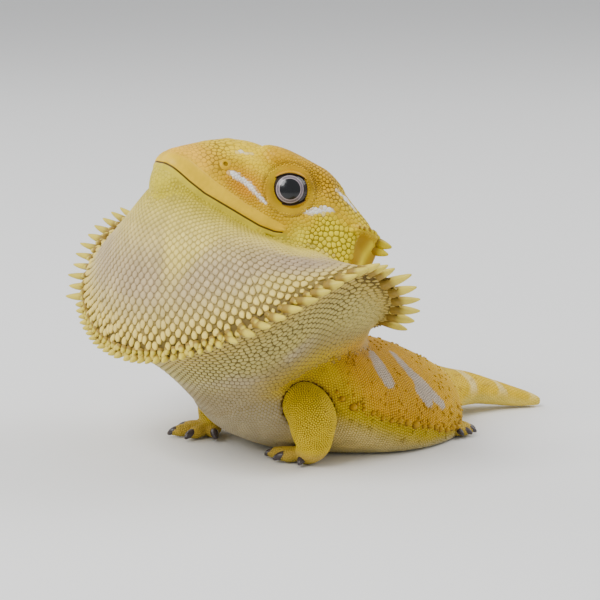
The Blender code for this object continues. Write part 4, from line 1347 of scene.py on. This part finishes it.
spikes = dict(
    sides=9,
    lift=((0, 50, 100, 150), (-0.4, 0.0, 0.5, -0.25)),  # how much they point up at these angles
    profile=((-0.6, 1.15), (-0.1, 1.0), (0.2, 0.9), (0.45, 0.75), (0.68, 0.55), (0.86, 0.34), (0.96, 0.16)),
    # the rim's: first and last angle from the front, count, share of the way down, length on the left and on
    # the right, radius, how much they follow the wall down, and how far back left and right ones point
    rows=(
        (2.2, 37.0, 12, 1.0, 1.9, 1.9, 0.9, 0.0, 0.55, -0.12),
        (41.0, 100.0, 13, 1.0, 3.5, 4.2, 1.08, 0.0, 0.75, -0.12),
        (108.0, 150.0, 6, 1.0, 5.0, 5.0, 1.25, 0.0, 0.55, -0.12),
        (0.0, 38.0, 15, 0.96, 1.2, 1.2, 0.8, 0.9, 0.3, 0.0),
        (41.0, 98.0, 14, 0.96, 1.5, 1.6, 0.85, 0.8, 1.1, 0.1),
    ),
    vary=(0.86, 1.06), bend=(0.0, 0.0, 0.06), edge=(-0.15, 0.3),
    # along, side, height in the head's frame, length, radius: a forked spike, and the ridge's small teeth
    ear=((52.6, 20.2, 11.4, 3.7, 1.45), (53.0, 20.4, 9.7, 3.2, 1.25), (44.6, 22.4, 11.0, 0.7, 0.55),
         (46.0, 22.4, 11.5, 0.8, 0.6), (47.6, 22.2, 11.9, 0.9, 0.65), (49.2, 21.8, 12.1, 0.9, 0.7),
         (50.8, 21.0, 12.2, 1.1, 0.8)),
    earEdge=(-0.3, 0.5),
)


def rimSpikes():
    # each spike starts on the throat's wall and points out from it, a little back and up or down by its angle
    grid = throatGrid()
    turns = np.arange(grid.shape[1] + 1) * 360 / grid.shape[1]
    closed = np.concatenate((grid, grid[:, :1]), axis=1)
    inside = (throatRing(*throat["jawRing"]) + throatRing(*throat["neckRing"])) / 2
    inside = np.vstack((inside, inside[:1]))

    def onRing(ring, angle):
        return np.stack([np.interp(angle, turns, column) for column in ring.T], 1)

    def at(share, angle):
        row = np.interp(share, throatShares, throatRows)
        low, f = int(row), row - int(row)
        return onRing(closed[low] * (1 - f) + closed[min(low + 1, len(grid) - 1)] * f, angle)

    bases, ways, lengths, radii = [], [], [], []
    for first, last, count, share, leftLength, rightLength, radius, down, left, right in spikes["rows"]:
        angle = np.linspace(first, last, count)
        base = at(share, angle)
        out = unit(base - onRing(inside, angle))
        out[:, 2] = np.interp(angle, *spikes["lift"])
        out += down * unit(at(min(share + 0.03, 1.0), angle) - at(share - 0.03, angle))
        for mirror, back, length in ((1, left, leftLength), (-1, right, rightLength)):
            backwards = np.outer(back * np.sin(np.radians(angle)), (0, 1, 0))
            ways.append(unit((out + backwards) * (mirror, 1, 1)))
            bases.append(base * (mirror, 1, 1))
            lengths.append(length * rng.uniform(*spikes["vary"], count))
            radii.append(radius * rng.uniform(*spikes["vary"], count))
    bases, ways = np.vstack(bases), np.vstack(ways)
    shells = hornShells(bases, ways, np.concatenate(lengths), np.concatenate(radii), spikes["bend"], spikes)
    # each spike runs from a painted shade at its root to its own colour at the tip
    return shells, hornColours(len(bases), spikes, "spikeRootShade", "spike", spikes["edge"])


def earSpikes(surface):
    # on the skin behind the ear's ridge, pointing back and a little out and up in the head's frame
    table = np.array(spikes["ear"])
    along, side, height, length, radius = np.vstack((table, table)).T
    side = side * np.repeat((1, -1), len(table))
    start = headPlace(side, along, height)
    base = onSurface(start, surface)[0]
    out = unit(headPlace(side * 1.12, along + 4, height + 1.0) - start)
    shells = hornShells(base, out, length, radius, (0, 0, 0), spikes)
    return shells, hornColours(len(base), spikes, "bumpRoot", "spikeEar", spikes["earEdge"])


bumps = dict(
    first=11.0, last=54.0, count=18, length=1.25, radius=0.85, lower=0.5, sides=9,
    scatter=(0.5, 0.35), sizes=(0.7, 1.2),  # how far they stray along and up, and their sizes
    profile=((-0.5, 1.2), (0.0, 1.0), (0.4, 0.82), (0.75, 0.52), (0.95, 0.2)),
    small=110, smallRadius=0.36, smallSizes=(0.7, 1.6), smallScatter=(1.2, 6), smallLength=1.6,
)


def sideBumps(surface):
    # the row of blunt bumps along each flank, with small ones strewn round it
    count = bumps["count"]
    y = np.repeat(np.linspace(bumps["first"], bumps["last"], count), 2)
    widest, height = (stationAt(trunk, y, column) for column in (1, 2))
    y = y + rng.normal(0, bumps["scatter"][0], len(y))
    height = height - bumps["lower"] + rng.normal(0, bumps["scatter"][1], len(y))
    loose = np.stack((widest * np.tile((1, -1), count), y, height), 1)
    base, out, _ = onSurface(loose, surface)
    size = rng.uniform(*bumps["sizes"], len(y))
    out = unit(out + (0.0, 0.3, 0.25))
    shells = hornShells(base, out, bumps["length"] * size, bumps["radius"] * size, (0, 0, 0), bumps)
    y = rng.uniform(bumps["first"] - 3, bumps["last"], bumps["small"])
    widest, height = (stationAt(trunk, y, column) for column in (1, 2))
    near, far = bumps["smallScatter"]
    height = height + rng.normal(0, near, len(y)) + far * rng.random(len(y)) ** 3
    loose = np.stack(((widest + 1) * np.where(np.arange(len(y)) % 2, 1, -1), y, height), 1)
    base, out, _ = onSurface(loose, surface)
    size = rng.uniform(*bumps["smallSizes"], len(y)) * bumps["smallRadius"]
    shells += hornShells(base, out, size * bumps["smallLength"], size, (0, 0, 0), bumps)
    return shells, hornColours(len(shells), bumps, "bumpRoot", "bump")


claws = dict(
    start=0.5, height=2.0, length=3.0, radius=1.05, drop=-0.4, sides=14, hind=0.76,  # the hind ones' size
    profile=((-0.35, 0.85), (0.0, 1.0), (0.25, 1.02), (0.5, 0.92), (0.7, 0.76), (0.86, 0.55),
             (0.95, 0.34), (0.99, 0.14)),
)


def clawShells(places, share):
    # each claw comes out of its toe level and curves down to the floor
    places = np.array(places)
    level = np.zeros(len(places))
    ahead = np.column_stack((places[:, 2:], level))
    base = np.column_stack((places[:, :2], level + claws["height"])) + ahead * claws["start"]
    lengths, radii = (level + claws[key] * share for key in ("length", "radius"))
    shells = hornShells(base, ahead, lengths, radii, (0, 0, claws["drop"]), claws)
    return shells, hornColours(len(places), claws, "clawRoot", "claw")


def bodySites(surface, mapping):
    # rows over throat, trunk and tail, and an even scatter over the head, then all settle together
    made = []
    for number, grid in ((1, throatGrid()[:-1]), (2, bodyGrid(trunk)), (3, bodyGrid(tail))):
        flat, shape = grid.reshape(-1, 3), grid.shape[:2]
        parts, shares = np.full(len(flat), number), np.zeros(len(flat))
        if number == 1:
            shares = np.repeat(throatShare(np.arange(len(grid))), shape[1])
        size = fieldsAt(flat, parts, shares)[:, 0].reshape(shape)
        longer = lengthOver(flat, parts, shares).reshape(shape)
        made.append(ringRows(grid, size, longer[1:], coat["across"] if number == 1 else None))
    corners, area = squaresOf(surface)
    middle = corners.mean(1)
    parts, shares = whereOn(middle, mapping)
    size = fieldsAt(middle, parts, shares)[:, 0]
    weight = np.where(parts == 0, area / (coat["hexagon"] * size**2), 0.0)
    onHead = scattered(corners, weight, int(weight.sum() * coat["headShare"]))
    places, _, distance = onSurface(np.vstack(made), surface)
    rows = places[distance < coat["stray"]]
    rows = rows[whereOn(rows, mapping)[0] != 0]
    points = np.vstack((onHead, rows))
    print("coat:", len(points), "sites before settling")
    parts, shares = whereOn(points, mapping)
    sizes = fieldsAt(points, parts, shares)[:, 0]
    keep = thinned(points, sizes)
    points, sizes, parts, shares = points[keep], sizes[keep], parts[keep], shares[keep]
    points = settled(points, sizes, surface, parts, lengthOver(points, parts, shares))
    parts, shares = whereOn(points, mapping)
    fields = fieldsAt(points, parts, shares)
    keep = thinned(points, fields[:, 0]) & (points[:, 2] > coat["lowest"][0])
    return points[keep], parts[keep], shares[keep], fields[keep]


def lieAt(points, normals, parts):
    # scales lie away from the snout: out and down over the beard, back along head and trunk
    ahead = np.where((parts == 1)[:, None], points - coat["lieFrom"], coat["lieBack"])
    return unit(ahead - normals * np.einsum("ij,ij->i", ahead, normals)[:, None])


def softBorder(values, parts, spread, rounds):
    # values flow together where neck and trunk meet, and the calm ones count by 5 share (1 - share)
    share, calm = (parts == 2).astype(float)[:, None], values
    for _ in range(rounds):
        share, calm = spread(share), spread(calm)
    zone = np.clip(5 * share * (1 - share), 0, 1) * np.isin(parts, (1, 2))[:, None]
    return values + (calm - values) * zone


def gapsFor(colours, grooves):
    # a scale leaves more room round it where the lines between scales are dark
    pale, dark = coat["gap"]
    return pale + (dark - pale) * ease(1 - grooves.sum(1) / np.maximum(colours.sum(1), 1e-6), 0.45, 0.85)


def layCoat(name, chosen, sites, surface, sides):
    # one piece of coat, split where it would be too big
    limit = int(coat["pieceLimit"] / (sides * (6 if sides > coat["granuleSides"] else 4) - 2))
    numbers = np.flatnonzero(chosen)
    made = []
    for part in range(0, len(numbers), limit):
        few = {key: values[numbers[part:part + limit]] for key, values in sites.items()}
        few["radii"], few["angle"] = cellRadii(sites, numbers[part:part + limit], sides)
        piece = scaleMesh(f"{name}_{len(made) + 1}", few, surface, sides)
        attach(piece, "root")
        made.append(piece)
        print("coat:", piece.name, len(few["points"]), "scales")
    return made


def paintSkin(piece, mapping, legSurfaces):
    # a crease round each leg with a painted shade along it, and the colour of the gaps between scales, or the
    # scales' own where it is bare
    points = pointsOf(piece)
    fromLeg = legDistance(points, legSurfaces)
    crease = seamAndShade["depth"] * fall(fromLeg, 0.2, seamAndShade["width"])
    setPoints(piece, points - normalsOf(piece) * crease[:, None])
    surface, edges = surfaceOf(piece), edgesOf(piece)
    parts, shares = whereOn(surface["points"], mapping)
    colours, grooves = coloursAt(surface["points"], parts, shares)
    side, along, height = headLocal(surface["points"])
    bare = np.where(parts == 0, 0.25 + 0.75 * earFace(np.abs(side), along, height), 0.0)[:, None]
    tone = grooves * (1 - bare) + colours * bare
    tone = softBorder(tone, parts, lambda values: averaged(values, edges), coat["borderRounds"][0])
    paintPoints(piece, blend(tone, "seamAndShade", fall(fromLeg, seamAndShade["line"], seamAndShade["width"])))
    return surface


def dressBody(surface, mapping, legSurfaces):
    # looks and places of all the body's scales, and the pieces of coat made from them
    points, parts, shares, fields = bodySites(surface, mapping)
    places, normals, _ = onSurface(points, surface)
    colours, grooves = coloursAt(places, parts, shares)
    fromLeg = legDistance(places, legSurfaces)
    shown = shownAt(places, parts, fromLeg)
    # the trunk's scales beside each leg take a painted shade from its crease
    strength, *edge = seamAndShade["shade"]
    colours = blend(colours, "seamAndShade", strength * fall(fromLeg, *edge) * (parts == 2))
    colours = colours * (1 + rng.normal(0, coat["vary"][0], len(points)))[:, None]
    near = neighboursOf(places, 10)
    looks = np.column_stack((colours, grooves, fields))
    looks = softBorder(looks, parts, lambda values: values[near].mean(1), coat["borderRounds"][1])
    colours, grooves, fields = np.split(looks, (3, 6), axis=1)
    sizes, heights, leans = fields.T
    more, fromRim = coat["beardCorners"]
    corners = np.array(coat["corners"])[parts] + more * ((parts == 1) & (abs(shares - 1) > fromRim))
    sites = dict(points=places, normals=normals, ahead=lieAt(places, normals, parts), sizes=sizes,
                 heights=heights, leans=leans, colours=colours, grooves=grooves, corners=corners, near=near,
                 longer=lengthOver(places, parts, shares), gaps=gapsFor(colours, grooves))
    form, (little, much) = coat["knobs"], coat["blue"]
    white = (parts == 0) & (colours[:, 2] > much)
    knobs = (parts == 2) & (rng.random(len(points)) < form["share"])
    knobs &= (colours[:, 2] < little) & (sizes < form["upTo"])
    heights[knobs] *= form["height"]
    heights[white] *= coat["strokeHeight"]
    colours[knobs] *= form["tone"]
    left, big = places[:, 0] > 0, sizes > coat["granuleBelow"]
    pieces = []
    for label, slotName, number, wanted in (
        ("scales_head", "head_skin", 0, True), ("granules_head", "head_skin", 0, False),
        ("scales_beard_left", "beard_skin", 1, True), ("scales_beard_right", "beard_skin", 1, True),
        ("granules_beard", "beard_skin", 1, False),
        ("scales_trunk", "back_skin", 2, True), ("granules_trunk", "back_skin", 2, False),
        ("scales_tail", "tail_skin", 3, True),
    ):
        chosen = (parts == number) & (big == wanted) & shown
        chosen &= left if label.endswith("left") else ~left if label.endswith("right") else True
        sides = coat["sides"] if wanted else coat["granuleSides"]
        pieces += layCoat(label, chosen, sites, surface, sides)
    return pieces


def dressLeg(name, piece, surface):
    # small round granules all over a leg
    paintPoints(piece, paintLeg(surface["points"])[1])
    form = coat["leg"]
    corners, area = squaresOf(surface)
    weight = area / (coat["hexagon"] * form["size"] ** 2)
    points = scattered(corners, weight, int(weight.sum()))
    sizes = np.full(len(points), form["size"])
    points = settled(points, sizes, surface)
    points = points[thinned(points, sizes) & (points[:, 2] > coat["lowest"][1])]
    places, normals, _ = onSurface(points, surface)
    base, groove = paintLeg(places)
    base = base * (1 + rng.normal(0, coat["vary"][1], len(points)))[:, None]
    plain = np.ones(len(points))
    sites = dict(points=places, normals=normals, ahead=lieAt(places, normals, plain * 2),
                 sizes=plain * form["size"], heights=plain * form["height"], leans=plain * 0,
                 colours=base, grooves=groove, near=neighboursOf(places, 10),
                 corners=plain * form["corners"], longer=plain, gaps=gapsFor(base, groove))
    return layCoat("granules_" + name, plain > 0, sites, surface, coat["granuleSides"])


print("skin: fusing the forms")
skinPiece = buildSkin()
print("skin:", len(skinPiece.data.vertices), "points", len(skinPiece.data.polygons), "faces")
legPieces, clawPlaces = {}, {}
for legName in legs["ways"]:
    legPieces[legName], clawPlaces[legName] = buildLeg(legName)
    print("leg:", legName, len(legPieces[legName].data.polygons), "faces")

mapping = formMap()
legSurfaces = {legName: surfaceOf(piece) for legName, piece in legPieces.items()}
bodySurface = paintSkin(skinPiece, mapping, list(legSurfaces.values()))
coatPieces = dressBody(bodySurface, mapping, list(legSurfaces.values()))
for legName, piece in legPieces.items():
    coatPieces += dressLeg(legName, piece, legSurfaces[legName])


finish = dict(
    mottle=(260.0, 4.0), tones=(0.9, 1.08),  # scale and detail of the mottling, and the tones it runs through
    grain=(3500.0, 2.0), grainDepth=0.0001,  # scale and detail of the grain, and its depth in metres
    skin=(0.6, 0.3, 0.22), scales=(0.4, 0.25, 0.22), eyes=(0.18, 0.0, 0.5), claws=(0.22, 0.1, 0.5),
)


def paintedVinyl(name, roughness, bump, shine):
    # the painted colour with a little mottling, and a fine grain in the surface
    material = bpy.data.materials.new(name)
    material.use_nodes = True
    nodes, links = material.node_tree.nodes, material.node_tree.links
    shader = nodes["Principled BSDF"]
    place = nodes.new("ShaderNodeTexCoord")

    def noise(scale, detail):
        made = nodes.new("ShaderNodeTexNoise")
        made.inputs["Scale"].default_value, made.inputs["Detail"].default_value = scale, detail
        links.new(place.outputs["Object"], made.inputs["Vector"])
        return made.outputs["Fac"]

    painted = nodes.new("ShaderNodeAttribute")
    painted.attribute_name = "paint"
    tone = nodes.new("ShaderNodeMapRange")
    tone.inputs["From Min"].default_value, tone.inputs["From Max"].default_value = 0.3, 0.7
    tone.inputs["To Min"].default_value, tone.inputs["To Max"].default_value = finish["tones"]
    links.new(noise(*finish["mottle"]), tone.inputs["Value"])
    mix = nodes.new("ShaderNodeVectorMath")
    mix.operation = "SCALE"
    links.new(painted.outputs["Color"], mix.inputs[0])
    links.new(tone.outputs["Result"], mix.inputs["Scale"])
    links.new(mix.outputs["Vector"], shader.inputs["Base Color"])
    lift = nodes.new("ShaderNodeBump")
    lift.inputs["Strength"].default_value = bump
    lift.inputs["Distance"].default_value = finish["grainDepth"]
    links.new(noise(*finish["grain"]), lift.inputs["Height"])
    links.new(lift.outputs["Normal"], shader.inputs["Normal"])
    shader.inputs["Roughness"].default_value = roughness
    shader.inputs["Specular IOR Level"].default_value = shine
    return material


skinMaterial = paintedVinyl("skin_paint", *finish["skin"])
coatMaterial = paintedVinyl("scale_paint", *finish["scales"])
for piece in (skinPiece, *legPieces.values()):
    piece.data.materials.append(skinMaterial)
for piece in coatPieces:
    piece.data.materials.append(coatMaterial)
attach(skinPiece, "root")
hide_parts("head", "lower_jaw", "beard", "neck", "trunk", "tail")

print("details: eyes, lids, lips, nostrils, spikes, bumps and claws")
eyeMaterial = paintedVinyl("eye_gloss", *finish["eyes"])
clawMaterial = paintedVinyl("claw_gloss", *finish["claws"])
for sideName, mirror in (("left", 1), ("right", -1)):
    ball, shade = eyeball(mirror)
    piece = shellPiece("eyeball_" + sideName, "eye", [ball], [shade], eyeMaterial)
    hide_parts("eye_" + sideName)
    lid, shade = eyelid(mirror)
    beads, shades = lidBeads(mirror)
    shellPiece("eyelid_" + sideName, "head_skin", [lid, *beads], [shade, *shades], coatMaterial)
shellPiece("lips", "head_skin", *lipBand(bodySurface), coatMaterial)
shellPiece("nostrils", "head_skin", *nostrilShells(bodySurface), coatMaterial)
shellPiece("rim_spikes", "beard_skin", *rimSpikes(), coatMaterial)
shellPiece("ear_spikes", "head_skin", *earSpikes(bodySurface), coatMaterial)
shellPiece("flank_bumps", "back_skin", *sideBumps(bodySurface), coatMaterial)
for legName, places in clawPlaces.items():
    shells, shades = clawShells(places, claws["hind"] if legName.startswith("hind") else 1.0)
    piece = shellPiece("claws_" + legName, "claw", shells, shades, clawMaterial)
    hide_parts(*(f"claw_{legName}_{number}" for number in range(1, 6)))
for legName, piece in legPieces.items():
    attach(piece, "root")
    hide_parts(legName)


# studio: floor, lights and camera
studio = dict(
    azimuth=53.0, elevation=11.0, lens=132.0, cameraPlace=(0.43374, -0.33633, 0.14176),
    floor=(0.88, 0.88, 0.87), floorReach=4000, floorRoughness=0.9,
    # place, size and power of each light
    lights=dict(
        key_light=((0.15, -0.8, 0.9), 0.6, 14.0),
        fill_light=((-0.8, -0.35, 0.5), 0.9, 3.0),
        rim_light=((0.25, 0.9, 0.8), 0.8, 7.0),
    ),
    lightTarget=(0, 0, 0.04), sky=(0.92, 0.93, 0.95), skyStrength=0.68,
)


def lookingFrom(way):
    # the turn of a lamp or camera that stands this way from what it looks at
    return Vector(way).to_track_quat("Z", "Y").to_euler()


def buildStudio():
    # none of this belongs to the figure
    scene = bpy.context.scene
    corners = np.array([(-1, -1, 0), (1, -1, 0), (1, 1, 0), (-1, 1, 0)], float) * studio["floorReach"]
    floor = newMesh("studio_floor", corners + (0, centreY, -0.01), [np.array([[0, 1, 2, 3]])], smooth=False)
    material = bpy.data.materials.new("studio_floor")
    material.use_nodes = True
    shader = material.node_tree.nodes["Principled BSDF"]
    shader.inputs["Base Color"].default_value = (*studio["floor"], 1)
    shader.inputs["Roughness"].default_value = studio["floorRoughness"]
    floor.data.materials.append(material)

    camera = bpy.data.objects.new("camera", bpy.data.cameras.new("camera"))
    scene.collection.objects.link(camera)
    camera.data.lens, camera.data.sensor_width = studio["lens"], 36.0
    camera.data.clip_start, camera.data.clip_end = 0.01, 10.0
    a, e = math.radians(studio["azimuth"]), math.radians(studio["elevation"])
    camera.location = studio["cameraPlace"]
    camera.rotation_euler = lookingFrom((math.sin(a) * math.cos(e), -math.cos(a) * math.cos(e), math.sin(e)))
    scene.camera = camera

    for name, (place, size, power) in studio["lights"].items():
        light = bpy.data.lights.new(name, "AREA")
        light.shape, light.size, light.energy = "SQUARE", size, power
        lamp = bpy.data.objects.new(name, light)
        lamp.location = place
        lamp.rotation_euler = lookingFrom(Vector(place) - Vector(studio["lightTarget"]))
        scene.collection.objects.link(lamp)
    world = bpy.data.worlds.new("studio")
    world.use_nodes = True
    sky = world.node_tree.nodes["Background"].inputs
    sky["Color"].default_value, sky["Strength"].default_value = (*studio["sky"], 1), studio["skyStrength"]
    scene.world = world


print("studio: floor, camera and lights")
buildStudio()
